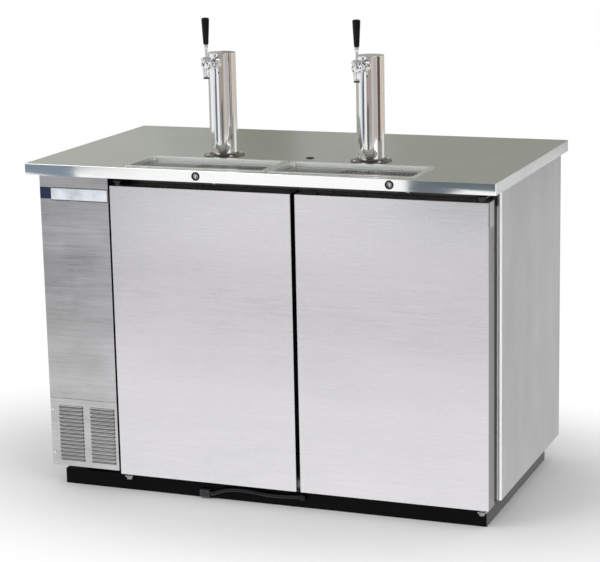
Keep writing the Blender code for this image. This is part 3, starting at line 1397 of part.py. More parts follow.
def build_shank(side, x):
    """The threaded shank through the column's wall, with its flange, inner nut and coupling nut."""
    face = COLUMN_Y - COLUMN_RADIUS
    origin = (x, face, TAP_Z)
    nut_radius = SHANK_NUT_RADIUS
    # The column is round, so the inner nut stands off its wall by the curve's depth.
    nut = -COLUMN_WALL - nut_radius**2 / COLUMN_RADIUS
    bm = bmesh.new()
    profile = [
        (-SHANK_INSIDE, SHANK_BORE),
        (-SHANK_INSIDE, SHANK_RADIUS),
        (nut - SHANK_NUT, SHANK_RADIUS),
        (nut - SHANK_NUT, nut_radius),
        (nut, nut_radius),
        (nut, SHANK_RADIUS),
        (GAP, SHANK_RADIUS),
        (GAP, SHANK_FLANGE_RADIUS),
        (SHANK_FLANGE, SHANK_FLANGE_RADIUS),
        (SHANK_FLANGE + COUPLING_CHAMFER, SHANK_RADIUS),
        (SHANK_OUTSIDE, SHANK_RADIUS),
        (SHANK_OUTSIDE, SHANK_BORE),
    ]
    turned(bm, profile, origin, -Y_AXIS, ROUND_STEPS, ring=True)
    node("tap_shank_" + side, bm, bpy.data.materials["chrome"], smooth=True)
    bm = bmesh.new()
    hold = SHANK_OUTSIDE + GAP + COLLAR_LENGTH + GAP
    profile = [
        (COUPLING_START, SHANK_RADIUS + GAP),
        (COUPLING_START, COUPLING_RADIUS - COUPLING_CHAMFER),
        (COUPLING_START + COUPLING_CHAMFER, COUPLING_RADIUS),
        (COUPLING_END - COUPLING_CHAMFER, COUPLING_RADIUS),
        (COUPLING_END, COUPLING_RADIUS - COUPLING_CHAMFER),
        (COUPLING_END, BARREL_RADIUS + GAP),
        (hold, BARREL_RADIUS + GAP),
        (hold, COLLAR_RADIUS + GAP),
        (SHANK_OUTSIDE, COLLAR_RADIUS + GAP),
        (SHANK_OUTSIDE, SHANK_RADIUS + GAP),
    ]
    turned(bm, profile, origin, -Y_AXIS, ROUND_STEPS, ring=True)
    node("coupling_nut_" + side, bm, bpy.data.materials["chrome"], smooth=True)


def build_tap(side, x):
    """A plain beer tap: body with barrel, neck and spout, bonnet, ball lever, handle and plunger."""
    chrome = bpy.data.materials["chrome"]
    face = COLUMN_Y - COLUMN_RADIUS
    origin = Vector((x, face, TAP_Z))
    start = SHANK_OUTSIDE + GAP
    bm = bmesh.new()
    nose = LEVER_REACH + BARREL_NOSE
    profile = [
        (start, COLLAR_RADIUS),
        (start + COLLAR_LENGTH, COLLAR_RADIUS),
        (start + COLLAR_LENGTH, BARREL_RADIUS),
        (LEVER_REACH - CHAMBER_RADIUS - COUPLING_CHAMFER, BARREL_RADIUS),
        (LEVER_REACH - CHAMBER_RADIUS / 2, CHAMBER_RADIUS * CHAMBER_NEAR_SHARE),
        (LEVER_REACH, CHAMBER_RADIUS),
        (LEVER_REACH + BARREL_NOSE / 2, CHAMBER_RADIUS * CHAMBER_FAR_SHARE),
        (nose - COUPLING_CHAMFER, CHAMBER_RADIUS * CHAMBER_NOSE_SHARE),
        (nose, 0),
    ]
    turned(bm, profile, origin, -Y_AXIS, TAP_STEPS)
    body = node("tap_body_" + side, bm, chrome, smooth=True)
    axis = origin - Y_AXIS * LEVER_REACH
    neck = bmesh.new()
    turned(neck, [(COLLAR_LENGTH, NECK_RADIUS), (NECK_HEIGHT, NECK_RADIUS)], axis, Z_AXIS, NECK_STEPS)
    join(body, neck)
    lean = Vector((0, -math.sin(SPOUT_LEAN), -math.cos(SPOUT_LEAN)))
    spout = bmesh.new()
    profile = [
        (0, SPOUT_TOP_RADIUS),
        (CHAMBER_RADIUS, SPOUT_TOP_RADIUS),
        (SPOUT_DROP, SPOUT_TIP_RADIUS),
    ]
    turned(spout, profile, axis, lean, SPOUT_STEPS)
    join(body, spout)
    bore = bmesh.new()
    profile = [(SHANK_OUTSIDE - OVERRUN, BARREL_BORE), (LEVER_REACH + BARREL_BORE, BARREL_BORE)]
    turned(bore, profile, origin, -Y_AXIS, SMALL_STEPS)
    cut(body, bore)
    socket = bmesh.new()
    pocket = BALL_RADIUS + BALL_PLAY
    profile = [(BALL_RISE - pocket, pocket), (NECK_HEIGHT + OVERRUN, pocket)]
    turned(socket, profile, axis, Z_AXIS, SMALL_STEPS)
    cut(body, socket)
    well = bmesh.new()
    turned(well, [(COUPLING_CHAMFER, WELL_RADIUS), (BALL_RISE, WELL_RADIUS)], axis, Z_AXIS, SMALL_STEPS)
    cut(body, well)
    outlet = bmesh.new()
    turned(outlet, [(0, SPOUT_BORE), (SPOUT_DROP + OVERRUN, SPOUT_BORE)], axis, lean, SMALL_STEPS)
    cut(body, outlet)
    weld(body)

    ball = axis + Z_AXIS * BALL_RISE
    inner = NECK_RADIUS + GAP
    lip = BONNET_LIP_RISE
    skirt = NECK_HEIGHT - BALL_RISE - BONNET_OVERLAP
    seat = NECK_HEIGHT - BALL_RISE + GAP
    profile = [
        (skirt, inner),
        (skirt, BONNET_RADIUS),
        (lip - COUPLING_CHAMFER, BONNET_RADIUS),
        (lip + SHEET, BONNET_TOP_RADIUS),
        (lip + SHEET, BONNET_MOUTH),
        (lip, BONNET_MOUTH),
        (seat, pocket),
        (seat, inner),
    ]
    bm = bmesh.new()
    turned(bm, profile, ball, Z_AXIS, ROUND_STEPS, ring=True)
    node("tap_bonnet_" + side, bm, chrome, smooth=True)

    bm = bmesh.new()
    profile = []
    for step in range(BALL_RINGS + 1):
        angle = math.pi * step / BALL_RINGS
        profile.append((-BALL_RADIUS * math.cos(angle), BALL_RADIUS * math.sin(angle)))
    turned(bm, profile, ball, Z_AXIS, SMALL_STEPS)
    lever = node("tap_lever_" + side, bm, chrome, smooth=True)
    stem = bmesh.new()
    foot = STEM_TOP
    profile = [
        (BALL_RADIUS / 2, STEM_RADIUS),
        (foot, STEM_RADIUS),
        (foot, FERRULE_NECK),
        (foot + FERRULE_HEIGHT / 3, FERRULE_NECK),
        (foot + FERRULE_HEIGHT / 2, FERRULE_RADIUS),
        (foot + FERRULE_HEIGHT, FERRULE_RADIUS),
    ]
    turned(stem, profile, ball, Z_AXIS, SMALL_STEPS)
    join(lever, stem)
    finger = bmesh.new()
    tip = [(-FINGER_LENGTH - FINGER_BALL, 0)]
    for step in range(1, TIP_RINGS):
        angle = math.pi * step / TIP_RINGS
        tip.append((-FINGER_LENGTH - FINGER_BALL * math.cos(angle), FINGER_BALL * math.sin(angle)))
    tip += [(-FINGER_LENGTH + FINGER_BALL, FINGER_RADIUS), (-BALL_RADIUS / 2, FINGER_RADIUS)]
    turned(finger, tip, ball, Z_AXIS, SMALL_STEPS)
    join(lever, finger)
    weld(lever)

    handle = bmesh.new()
    foot = STEM_TOP + FERRULE_HEIGHT + GAP
    shoulder = foot + HANDLE_LENGTH - HANDLE_CROWN
    profile = [(foot, HANDLE_FOOT_RADIUS)]
    profile += [(shoulder + HANDLE_CROWN * up, HANDLE_TOP_RADIUS * out) for up, out in HANDLE_CROWN_SHARES]
    turned(handle, profile, ball, Z_AXIS, HANDLE_SIDES)
    handle = node("tap_handle_" + side, handle, bpy.data.materials["black_plastic"])
    pivot("lever_axis_" + side, ball, lever, handle)

    shoe_z = BALL_RISE - FINGER_LENGTH
    shoe = axis + Z_AXIS * shoe_z
    bm = bmesh.new()
    half = PLUNGER_RADIUS
    box(
        bm,
        shoe + Vector((-half, -SHOE_HALF, -SHOE_LOW)),
        shoe + Vector((half, SHOE_HALF, SHOE_HIGH)),
    )
    plunger = node("valve_plunger_" + side, bm, bpy.data.materials["brass"], smooth=True)
    rod = bmesh.new()
    low = axis + Y_AXIS * (SHOE_HALF - SHOE_NOTCH / 2)
    profile = [
        (0, PLUNGER_RADIUS * PLUNGER_ROD_SHARE),
        (PLUNGER_LENGTH, PLUNGER_RADIUS * PLUNGER_ROD_SHARE),
        (PLUNGER_LENGTH, PLUNGER_HEAD_RADIUS - GAP),
        (PLUNGER_LENGTH + PLUNGER_HEAD, PLUNGER_HEAD_RADIUS - GAP),
    ]
    turned(rod, profile, low, Y_AXIS, SMALL_STEPS)
    join(plunger, rod)
    notch = boxes(
        (
            shoe + Vector((-half - OVERRUN, -SHOE_NOTCH, -FINGER_BALL - GAP * 2)),
            shoe + Vector((half + OVERRUN, SHOE_NOTCH, SHOE_HIGH + OVERRUN)),
        )
    )
    cut(plunger, notch)
    pivot("plunger_axis_" + side, shoe, plunger)


def build_beer_line(side, x):
    """The hose from a shank's tail, down the column and through the top to a nut under the ceiling."""
    start = Vector((x, COLUMN_Y - COLUMN_RADIUS + SHANK_INSIDE + GAP, TAP_Z))
    line_y = COLUMN_Y + line_offset()
    radius = line_y - start.y - LINE_RADIUS
    centre = Vector((x, start.y + LINE_RADIUS, TAP_Z - radius))
    arc = []
    for step in range(LINE_STEPS + 1):
        angle = math.pi / 2 * step / LINE_STEPS
        arc.append(centre + Vector((0, math.sin(angle), math.cos(angle))) * radius)
    end = CAVITY_TOP - LINE_END_DROP
    line = tube([start, *arc, Vector((x, line_y, end))], LINE_RADIUS, PIPE_SIDES)
    line = node("beer_line_" + side, line, bpy.data.materials["clear_hose"], smooth=True)
    top = CAVITY_TOP - LINER_SHEET - GAP * 2
    join(line, drilled([(x, line_y)], LINE_NUT_RADIUS, 2, end - LINE_NUT_RADIUS, top, LINE_STEPS))


# Drain on the kick plate


def build_drain():
    """A short hose across the kick plate, from a clip block to an elbow that leads under the cabinet."""
    near = BASE_FRONT - GAP
    middle = near - DRAIN_BLOCK_DEPTH / 2
    start = DRAIN_BLOCK_LEFT + DRAIN_BLOCK_LENGTH
    route = [
        (start + (DRAIN_HOSE_RUN + DRAIN_ELBOW_SIZE / 2) * share, middle, height)
        for share, height in zip(DRAIN_HOSE_PLACE_SHARES, DRAIN_HOSE_HEIGHTS)
    ]
    route.insert(0, (start - DRAIN_BLOCK_LENGTH / 2, middle, DRAIN_HOSE_HEIGHTS[0]))
    hose = node(
        "drain_hose",
        tube(smooth_path(route, PATH_STEPS), DRAIN_HOSE_RADIUS, HOSE_SIDES),
        bpy.data.materials["rubber"],
        smooth=True,
    )
    block = bmesh.new()
    verts = box(
        block,
        (DRAIN_BLOCK_LEFT, near - DRAIN_BLOCK_DEPTH, DRAIN_BLOCK_LOW),
        (start, near, DRAIN_BLOCK_LOW + DRAIN_BLOCK_HEIGHT),
    )
    rounded(block, upright_edges(verts, 1), DRAIN_HOSE_RADIUS / 3)
    join(hose, block)
    end = start + DRAIN_HOSE_RUN
    half = DRAIN_ELBOW_SIZE / 2
    z = DRAIN_HOSE_HEIGHTS[-1]
    elbow = bmesh.new()
    low, high = (end, near - DRAIN_BLOCK_DEPTH, z - half), (end + DRAIN_ELBOW_SIZE, near, z + half)
    verts = box(elbow, low, high)
    rounded(elbow, upright_edges(verts, 2), DRAIN_HOSE_RADIUS / 3)
    join(hose, elbow)


FINISHES = {
    "steel": ((0.62, 0.62, 0.62), 0.32, 1),
    "steel_dark": ((0.3, 0.3, 0.3), 0.4, 1),
    "polished_steel": ((0.72, 0.7, 0.68), 0.12, 1),
    "chrome": ((0.8, 0.8, 0.8), 0.08, 1),
    "liner_steel": ((0.6, 0.62, 0.64), 0.4, 0.8),
    "galvanised": ((0.5, 0.52, 0.54), 0.5, 0.9),
    "black_paint": ((0.012, 0.012, 0.013), 0.3, 0),
    "black_plastic": ((0.012, 0.012, 0.012), 0.25, 0),
    "dark_plastic": ((0.03, 0.03, 0.03), 0.45, 0),
    "rubber": ((0.02, 0.02, 0.02), 0.6, 0),
    "plywood": ((0.5, 0.36, 0.2), 0.7, 0),
    "aluminium": ((0.7, 0.71, 0.72), 0.4, 1),
    "copper": ((0.72, 0.33, 0.18), 0.3, 1),
    "brass": ((0.7, 0.5, 0.2), 0.25, 1),
    "clear_hose": ((0.75, 0.76, 0.74), 0.3, 0),
}


def main():
    for old in list(bpy.data.objects):
        bpy.data.objects.remove(old)
    for name, (colour, roughness, metallic) in FINISHES.items():
        material(name, colour, roughness, metallic)
    build_base()
    build_cabinet()
    build_skins()
    build_compartment()
    build_machine()
    build_evaporator()
    build_worktop()
    build_plug()
    for side, middle in zip(SIDES, TRAY_MIDDLES):
        build_tray(side, middle)
    build_locks()
    for side, left, hinge_x in zip(SIDES, DOOR_LEFTS, HINGE_XS):
        build_door(side, left, hinge_x)
        build_hinges(side, hinge_x)
    for side, x in zip(SIDES, COLUMN_MIDDLES):
        build_column(side, x)
        build_shank(side, x)
        build_tap(side, x)
        build_beer_line(side, x)
    build_drain()


main()
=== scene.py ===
"""Dresses the keg cooler: brushed steel skins, polished columns and taps, trays, locks, seals and the studio.

Metres, +Z up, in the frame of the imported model. Every piece takes its place from the node that it stands for.
"""

import math

import bmesh
import bpy
from bpy.props import FloatProperty, FloatVectorProperty, PointerProperty
from mathutils import Matrix, Vector


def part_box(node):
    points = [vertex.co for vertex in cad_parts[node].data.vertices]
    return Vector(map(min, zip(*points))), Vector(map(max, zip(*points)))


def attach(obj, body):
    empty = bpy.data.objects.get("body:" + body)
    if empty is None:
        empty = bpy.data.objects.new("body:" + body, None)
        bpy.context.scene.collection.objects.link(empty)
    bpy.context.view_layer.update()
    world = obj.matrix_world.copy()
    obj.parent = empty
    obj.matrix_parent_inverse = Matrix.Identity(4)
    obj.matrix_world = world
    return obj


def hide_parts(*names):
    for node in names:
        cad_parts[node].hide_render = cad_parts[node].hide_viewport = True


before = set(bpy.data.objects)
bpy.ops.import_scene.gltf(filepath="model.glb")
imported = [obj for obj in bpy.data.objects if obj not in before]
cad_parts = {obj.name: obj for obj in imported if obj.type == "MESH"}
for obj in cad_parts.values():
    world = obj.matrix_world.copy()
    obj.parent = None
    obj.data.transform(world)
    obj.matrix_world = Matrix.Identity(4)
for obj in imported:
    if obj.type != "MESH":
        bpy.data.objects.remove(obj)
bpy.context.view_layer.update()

bl_info = {
    "name": "Keg Cooler Dressing",
    "version": (1, 0, 0),
    "blender": (4, 5, 0),
    "location": "View3D > Sidebar > Keg Cooler",
    "description": "Builds the finished surfaces of a two-tap keg cooler around its packed model",
    "category": "Object",
}

MM = 0.001
MERGE = 0.002 * MM
X_AXIS = Vector((1, 0, 0))
Y_AXIS = Vector((0, 1, 0))
Z_AXIS = Vector((0, 0, 1))
SIDES = ("left", "right")

# The photograph's camera, in the model's frame
CAMERA_PLACE = (1.88846, -4.85400, 1.68386)
CAMERA_AHEAD = (-0.3560, 0.9093, -0.2153)
CAMERA_RIGHT = (0.9326, 0.3603, -0.0206)
SENSOR_WIDTH = 36
CAMERA_LENS = 118.78

# Sheets and folds
SHEET = 1.2 * MM
FOLD = 2 * MM
SOFT = 0.6 * MM
FOLD_STEPS = 5
SEAT = 0.15 * MM
CREASE = 35

# Trays
TRAY_RIM = 12 * MM
TRAY_CORNER = 9 * MM
TRAY_FLOOR_FILLET = 5 * MM
TRAY_FLARE = 1.2 * MM
TRAY_LAP = 3.2 * MM
FLARE_START = 0.5 * MM
GRID_SEAT = 0.3 * MM
# Height of the painted shade in the bottom of each tray
SUMP_SHADE_HEIGHT = 6 * MM
TRAY_CORNER_STEPS = 6
SLOT_ROWS = 2
SLOT_COLUMNS = 17
SLOT_PITCH = 11.5 * MM
SLOT_ROW_PITCH = 54 * MM
SLOT_LENGTH = 44 * MM
SLOT_WIDTH = 5.2 * MM
SLOT_SLANT = math.radians(4)
SLOT_OFFSET = 66 * MM

# Columns and taps
COLUMN_STEPS = 128
COLUMN_RADIUS = 36.5 * MM
COLUMN_WALL = 2 * MM
LATHE_STEPS = 48
FLANGE_HEIGHT = 4 * MM
COLUMN_CAP = 2.5 * MM
SCREW_CIRCLE = 47 * MM
SCREW_RADIUS = 4.2 * MM
SCREW_HEIGHT = 2.4 * MM
CROSS_LENGTH = 0.62
CROSS_WIDTH = 0.12
CROSS_FLOOR = 0.45
BARREL_OVERLAP = 6.2 * MM
SPOUT_LEAN = math.radians(6)
BODY_VOXEL = 0.55 * MM
BODY_SMOOTHING = 6

# Locks and plug
LOCK_DISH = 0.7 * MM
LOCK_CORE = 6 * MM
LOCK_NECK = 9 * MM
LOCK_PLAY = 0.3 * MM
PLUG_DOME = 2.5 * MM
KEYWAY_LENGTH = 7 * MM
KEYWAY_WIDTH = 1.6 * MM
KEYWAY_DEPTH = 3.4 * MM
CAM_ARM = 44 * MM
CAM_WIDTH = 13 * MM
CAM_SHEET = 3 * MM
CAM_PIN = 3.5 * MM
CAM_REST = math.radians(21)

# Doors
CHEEK_STAND = 1.25 * MM
CHEEK_START = 5 * MM
CHEEK_DEPTH = 40 * MM
CHEEK_HEIGHT = 64 * MM
PULL_LIP = 10 * MM
PULL_GROOVE = 26 * MM
PULL_GROOVE_DEPTH = 16 * MM
PULL_END = 48 * MM

# Hinges
HINGE_SETBACK = 12 * MM
HINGE_PLATE = 4 * MM
HINGE_PLATE_Z = 42.3 * MM

# Machine compartment
LOUVRE_ROWS = 15
LOUVRE_PITCH = 10.4 * MM
LOUVRE_LENGTH = 76 * MM
LOUVRE_HEIGHT = 6 * MM
LOUVRE_RISE = 3.6 * MM
LOUVRE_WALL = 0.7 * MM
LOUVRE_LEFT_MARGIN = 24 * MM
LOUVRE_MIDDLE_GAP = 17 * MM
LOUVRE_TOP_MARGIN = 18 * MM
LOUVRE_ARC_STEPS = 4
LOUVRE_SLOT = 2.6 * MM
BADGE_PLATE = ((-583.5 * MM, 788 * MM), (-420.5 * MM, 817.7 * MM))
BADGE_TILE = ((-616 * MM, 789 * MM), (-585 * MM, 820 * MM))
BADGE_RIM = ((-584.5 * MM, 784.5 * MM), (-417 * MM, 821.2 * MM))
BADGE_STAND = 1.1 * MM
GRILLE_DEPTH = 25 * MM
GRILLE_SCREWS = ((-609 * MM, 213 * MM), (-609 * MM, 93 * MM))

# Lamps and floor
KEY_PLACE = (-2.6, -3.4, 3.6)
KEY_SIZE = 2.6
FILL_PLACE = (3.6, -2.2, 2.6)
FILL_SIZE = 2.4
LAMP_TARGET = (0, 0, 0.55)
FLOOR_SIZE = 30
SHADOW_OVAL = (0.62, 1.0, 1.0)
FADE_START = 0.4
FADE_END = 0.95

# Reflector cards, seen only in the metal: name, low corner, high corner and colour
FLAT_CARDS = (
    ("card_back_1", (-6.0, 3.4, 0.9), (-2.0, 3.42, 3.6), (0.475, 0.48, 0.45)),
    ("card_back_2", (-2.0, 3.4, 0.9), (-1.7, 3.42, 3.6), (0.42, 0.43, 0.4)),
    ("card_back_3", (-1.7, 3.4, 0.9), (-1.35, 3.42, 3.6), (0.27, 0.275, 0.23)),
    ("card_back_4", (-1.35, 3.4, 0.9), (-0.9, 3.42, 3.6), (0.4, 0.4, 0.375)),
    ("card_back_5", (-0.9, 3.4, 0.9), (1.8, 3.42, 3.6), (0.335, 0.34, 0.3)),
    ("card_lip_left", (-1.6, -1.57, 0.56), (-1.13, -1.56, 0.85), (0.22, 0.27, 0.33)),
    ("card_lip_right", (0.02, -1.57, 0.585), (0.42, -1.56, 0.85), (0.13, 0.16, 0.18)),
    ("card_panel", (-1.75, -1.57, 0.18), (-1.12, -1.56, 0.5), (0.3, 0.295, 0.3)),
    ("card_doors", (-1.1, -1.59, 0.1), (0.6, -1.58, 0.34), (0.68, 0.665, 0.685)),
    ("card_left", (-6.2, -5.0, 0.95), (-6.18, 3.4, 3.6), (0.4, 0.4, 0.38)),
    ("card_right", (6.18, -5.0, 0.95), (6.2, 3.4, 3.6), (0.4, 0.4, 0.38)),
    ("card_ceiling", (-4.5, -4.5, 4.6), (4.5, 4.5, 4.62), (0.38, 0.38, 0.37)),
    ("card_wall", (-8.0, -7.6, 1.0), (8.0, -7.58, 2.2), (1.15, 1.16, 1.14)),
    ("card_front", (-8.0, -7.6, 2.6), (8.0, -7.58, 8.0), (0.12, 0.12, 0.13)),
)
# A ring of cards round the columns: name, start and end in degrees, top and colour
CARD_DISTANCE = 4.0
CARD_LOW = 0.34
CARD_STEPS = 12
ROUND_CARDS = (
    ("card_pale_blue", -153.6, -131.6, 1.4, (0.8, 0.87, 0.95)),
    ("card_blue", -131.6, -118.6, 1.4, (0.12, 0.13, 0.16)),
    ("card_rose", -99.6, -59.6, 1.4, (0.41, 0.355, 0.335)),
    ("card_cream", -59.6, -41.6, 1.4, (0.62, 0.59, 0.53)),
    ("card_lavender", -41.6, -13.6, 1.4, (0.52, 0.485, 0.51)),
    ("card_brown", -11.6, 14.0, 1.4, (0.13, 0.095, 0.065)),
    ("card_beige", 14.0, 55.4, 0.8, (0.72, 0.63, 0.56)),
    ("card_pale_grey", 55.4, 111.4, 0.8, (0.62, 0.59, 0.57)),
    ("card_grey", 111.4, 175.4, 0.8, (0.5, 0.5, 0.48)),
)


# Sizes and colours that a user would change


class StudioSettings(bpy.types.PropertyGroup):
    """The light and the floor."""

    key_power: FloatProperty(
        name="Key", description="Power of the soft key lamp", default=58, min=0, unit="POWER"
    )
    fill_power: FloatProperty(
        name="Fill", description="Power of the fill lamp", default=26, min=0, unit="POWER"
    )
    ambient: FloatProperty(
        name="Ambient", description="Brightness of the surroundings", default=0.62, min=0, subtype="FACTOR"
    )
    floor_colour: FloatVectorProperty(
        name="Floor", description="Colour of the floor", default=(0.97, 0.97, 0.97),
        subtype="COLOR", min=0, max=1,
    )


class SteelSettings(bpy.types.PropertyGroup):
    """The brushed and polished steels."""

    door: FloatVectorProperty(
        name="Doors", description="Colour of the door skins", default=(0.75, 0.735, 0.755),
        subtype="COLOR", min=0, max=1,
    )
    panel: FloatVectorProperty(
        name="Machine panel", description="Colour of the compartment's front", default=(0.54, 0.53, 0.54),
        subtype="COLOR", min=0, max=1,
    )
    # Darker than the doors' steel: the side skins' shade is painted into this colour.
    side: FloatVectorProperty(
        name="Side", description="Colour of the cabinet's side skins", default=(0.372, 0.372, 0.377),
        subtype="COLOR", min=0, max=1,
    )
    worktop: FloatVectorProperty(
        name="Worktop", description="Colour of the worktop", default=(0.78, 0.79, 0.775),
        subtype="COLOR", min=0, max=1,
    )
    polished: FloatVectorProperty(
        name="Columns", description="Colour of the polished columns", default=(0.85, 0.84, 0.83),
        subtype="COLOR", min=0, max=1,
    )
    chrome: FloatVectorProperty(
        name="Chrome", description="Colour of the plated fittings", default=(0.82, 0.83, 0.84),
        subtype="COLOR", min=0, max=1,
    )


class TrimSettings(bpy.types.PropertyGroup):
    """The dark plastics, paints and rubbers."""

    paint: FloatVectorProperty(
        name="Base paint", description="Colour of the base frame", default=(0.003, 0.003, 0.0035),
        subtype="COLOR", min=0, max=1,
    )
    handle: FloatVectorProperty(
        name="Handles", description="Colour of the tap handles", default=(0.003, 0.003, 0.0035),
        subtype="COLOR", min=0, max=1,
    )
    rubber: FloatVectorProperty(
        name="Seals", description="Colour of the door seals", default=(0.016, 0.016, 0.017),
        subtype="COLOR", min=0, max=1,
    )
    tile: FloatVectorProperty(
        name="Tile", description="Colour of the small blank tile", default=(0.010, 0.022, 0.07),
        subtype="COLOR", min=0, max=1,
    )


# Materials


def combine(tree, first, second, operation):
    """Two values of a node tree, joined by arithmetic."""
    made = tree.nodes.new("ShaderNodeMath")
    made.operation = operation
    tree.links.new(first, made.inputs[0])
    tree.links.new(second, made.inputs[1])
    return made.outputs["Value"]


class Graph:
    """A material's nodes, with short ways to add and join them."""

    def __init__(self, name):
        self.material = bpy.data.materials.new(name)
        self.material.use_nodes = True
        self.tree = self.material.node_tree
        self.shader = self.tree.nodes["Principled BSDF"]

    def add(self, kind, **settings):
        made = self.tree.nodes.new(kind)
        for setting, value in settings.items():
            setattr(made, setting, value)
        return made

    def join(self, source, target):
        self.tree.links.new(source, target)

    def fix(self, **sockets):
        """Constants on the shader's own sockets, named with underscores for spaces."""
        for name, value in sockets.items():
            self.shader.inputs[name.replace("_", " ")].default_value = value

    def place(self, stretch):
        coordinates = self.add("ShaderNodeTexCoord")
        mapping = self.add("ShaderNodeMapping")
        mapping.inputs["Scale"].default_value = stretch
        self.join(coordinates.outputs["Object"], mapping.inputs["Vector"])
        return mapping.outputs["Vector"]

    def noise(self, stretch, detail=3.0, rough=0.55):
        made = self.add("ShaderNodeTexNoise")
        made.inputs["Scale"].default_value = 1
        made.inputs["Detail"].default_value = detail
        made.inputs["Roughness"].default_value = rough
        self.join(self.place(stretch), made.inputs["Vector"])
        return made.outputs["Fac"]

    def cells(self, stretch):
        made = self.add("ShaderNodeTexVoronoi")
        made.inputs["Scale"].default_value = 1
        self.join(self.place(stretch), made.inputs["Vector"])
        return made.outputs["Color"]

    def remap(self, value, from_low, from_high, to_low, to_high):
        made = self.add("ShaderNodeMapRange")
        for name, number in (
            ("From Min", from_low), ("From Max", from_high), ("To Min", to_low), ("To Max", to_high)
        ):
            made.inputs[name].default_value = number
        self.join(value, made.inputs["Value"])
        return made.outputs["Result"]

    def sum(self, first, second, operation="ADD"):
        return combine(self.tree, first, second, operation)

    def shade(self, colour, brightness):
        """The colour, scaled by a brightness value, as the base colour."""
        made = self.add("ShaderNodeVectorMath", operation="SCALE")
        made.inputs[0].default_value = tuple(colour)
        self.join(brightness, made.inputs["Scale"])
        self.join(made.outputs["Vector"], self.shader.inputs["Base Color"])

    def relief(self, height, distance):
        made = self.add("ShaderNodeBump")
        made.inputs["Distance"].default_value = distance
        self.join(height, made.inputs["Height"])
        self.join(made.outputs["Normal"], self.shader.inputs["Normal"])

    def roughen(self, value):
        self.join(value, self.shader.inputs["Roughness"])


def brushed(name, colour, grain, rough=0.3, streaks=0.1, blotches=0.06, fine=0.05, wear=0.07, groove=0.00002):
    """Brushed steel whose lines run along the axis that grain names."""
    graph = Graph(name)
    axis = "XYZ".index(grain)
    long_run = [260.0] * 3
    long_run[axis] = 9.0
    short_run = [900.0] * 3
    short_run[axis] = 30.0
    lines = graph.noise(long_run, 2.0, 0.6)
    hairs = graph.noise(short_run, 1.0, 0.5)
    cloud = graph.noise((5.0, 5.0, 5.0), 3.0, 0.6)
    patches = graph.noise([2.0 + 10.0 * (index != axis) for index in range(3)], 2.0, 0.5)
    tone = graph.remap(lines, 0.25, 0.75, 1 - streaks, 1 + streaks)
    tone = graph.sum(tone, graph.remap(hairs, 0.25, 0.75, 1 - fine, 1 + fine), "MULTIPLY")
    tone = graph.sum(tone, graph.remap(cloud, 0.3, 0.7, 1 - blotches, 1 + blotches), "MULTIPLY")
    tone = graph.sum(tone, graph.remap(patches, 0.3, 0.7, 1 - blotches / 2, 1 + blotches / 2), "MULTIPLY")
    graph.shade(colour, tone)
    graph.fix(Metallic=1.0)
    graph.roughen(graph.sum(graph.remap(lines, 0.2, 0.8, rough - wear, rough + wear),
                            graph.remap(cloud, 0.3, 0.7, -wear * 0.4, wear * 0.4)))
    graph.relief(graph.sum(lines, hairs), groove)
    return graph.material


def polished(name, colour, rough, grain=None):
    """Polished or plated metal with faint wipe marks."""
    graph = Graph(name)
    stretch = [90.0, 90.0, 90.0]
    if grain:
        stretch["XYZ".index(grain)] = 6.0
    wipes = graph.noise(stretch, 3.0, 0.6)
    dust = graph.noise((420.0, 420.0, 420.0), 2.0, 0.5)
    graph.shade(colour, graph.remap(wipes, 0.3, 0.7, 0.95, 1.03))
    graph.fix(Metallic=1.0)
    graph.roughen(graph.sum(graph.remap(wipes, 0.3, 0.7, rough * 0.7, rough * 1.5),
                            graph.remap(dust, 0.45, 0.8, 0.0, 0.04)))
    graph.relief(wipes, 0.00001)
    return graph.material


def gloss_paint(name, colour, rough=0.22, specular=0.3, dusty=2.0):
    """Baked gloss paint with a little orange peel and dust in it."""
    graph = Graph(name)
    peel = graph.noise((220.0, 220.0, 220.0), 2.0, 0.5)
    dust = graph.noise((9.0, 9.0, 24.0), 5.0, 0.65)
    graph.shade(colour, graph.remap(dust, 0.35, 0.75, 0.8, dusty))
    graph.roughen(graph.remap(dust, 0.35, 0.75, rough, rough + 0.15))
    graph.relief(peel, 0.00006)
    graph.fix(Specular_IOR_Level=specular)
    return graph.material


def moulded(name, colour, rough=0.35, grain=600.0, depth=0.00003):
    """Moulded plastic or rubber with its fine skin texture."""
    graph = Graph(name)
    skin = graph.noise((grain, grain, grain), 2.0, 0.5)
    scuff = graph.noise((30.0, 30.0, 30.0), 4.0, 0.6)
    graph.shade(colour, graph.remap(scuff, 0.3, 0.75, 0.85, 1.35))
    graph.roughen(graph.remap(scuff, 0.3, 0.75, rough - 0.05, rough + 0.12))
    graph.relief(skin, depth)
    return graph.material


def galvanised(name, colour):
    """Zinc-coated sheet with its spangle."""
    graph = Graph(name)
    separate = graph.add("ShaderNodeSeparateColor")
    graph.join(graph.cells((70.0, 70.0, 70.0)), separate.inputs["Color"])
    spangle = separate.outputs["Red"]
    stain = graph.noise((6.0, 6.0, 6.0), 4.0, 0.6)
    tone = graph.sum(
        graph.remap(spangle, 0.0, 1.0, 0.86, 1.1), graph.remap(stain, 0.3, 0.7, 0.92, 1.06), "MULTIPLY"
    )
    graph.shade(colour, tone)
    graph.fix(Metallic=0.85)
    graph.roughen(graph.remap(spangle, 0.0, 1.0, 0.36, 0.52))
    graph.relief(spangle, 0.00003)
    return graph.material


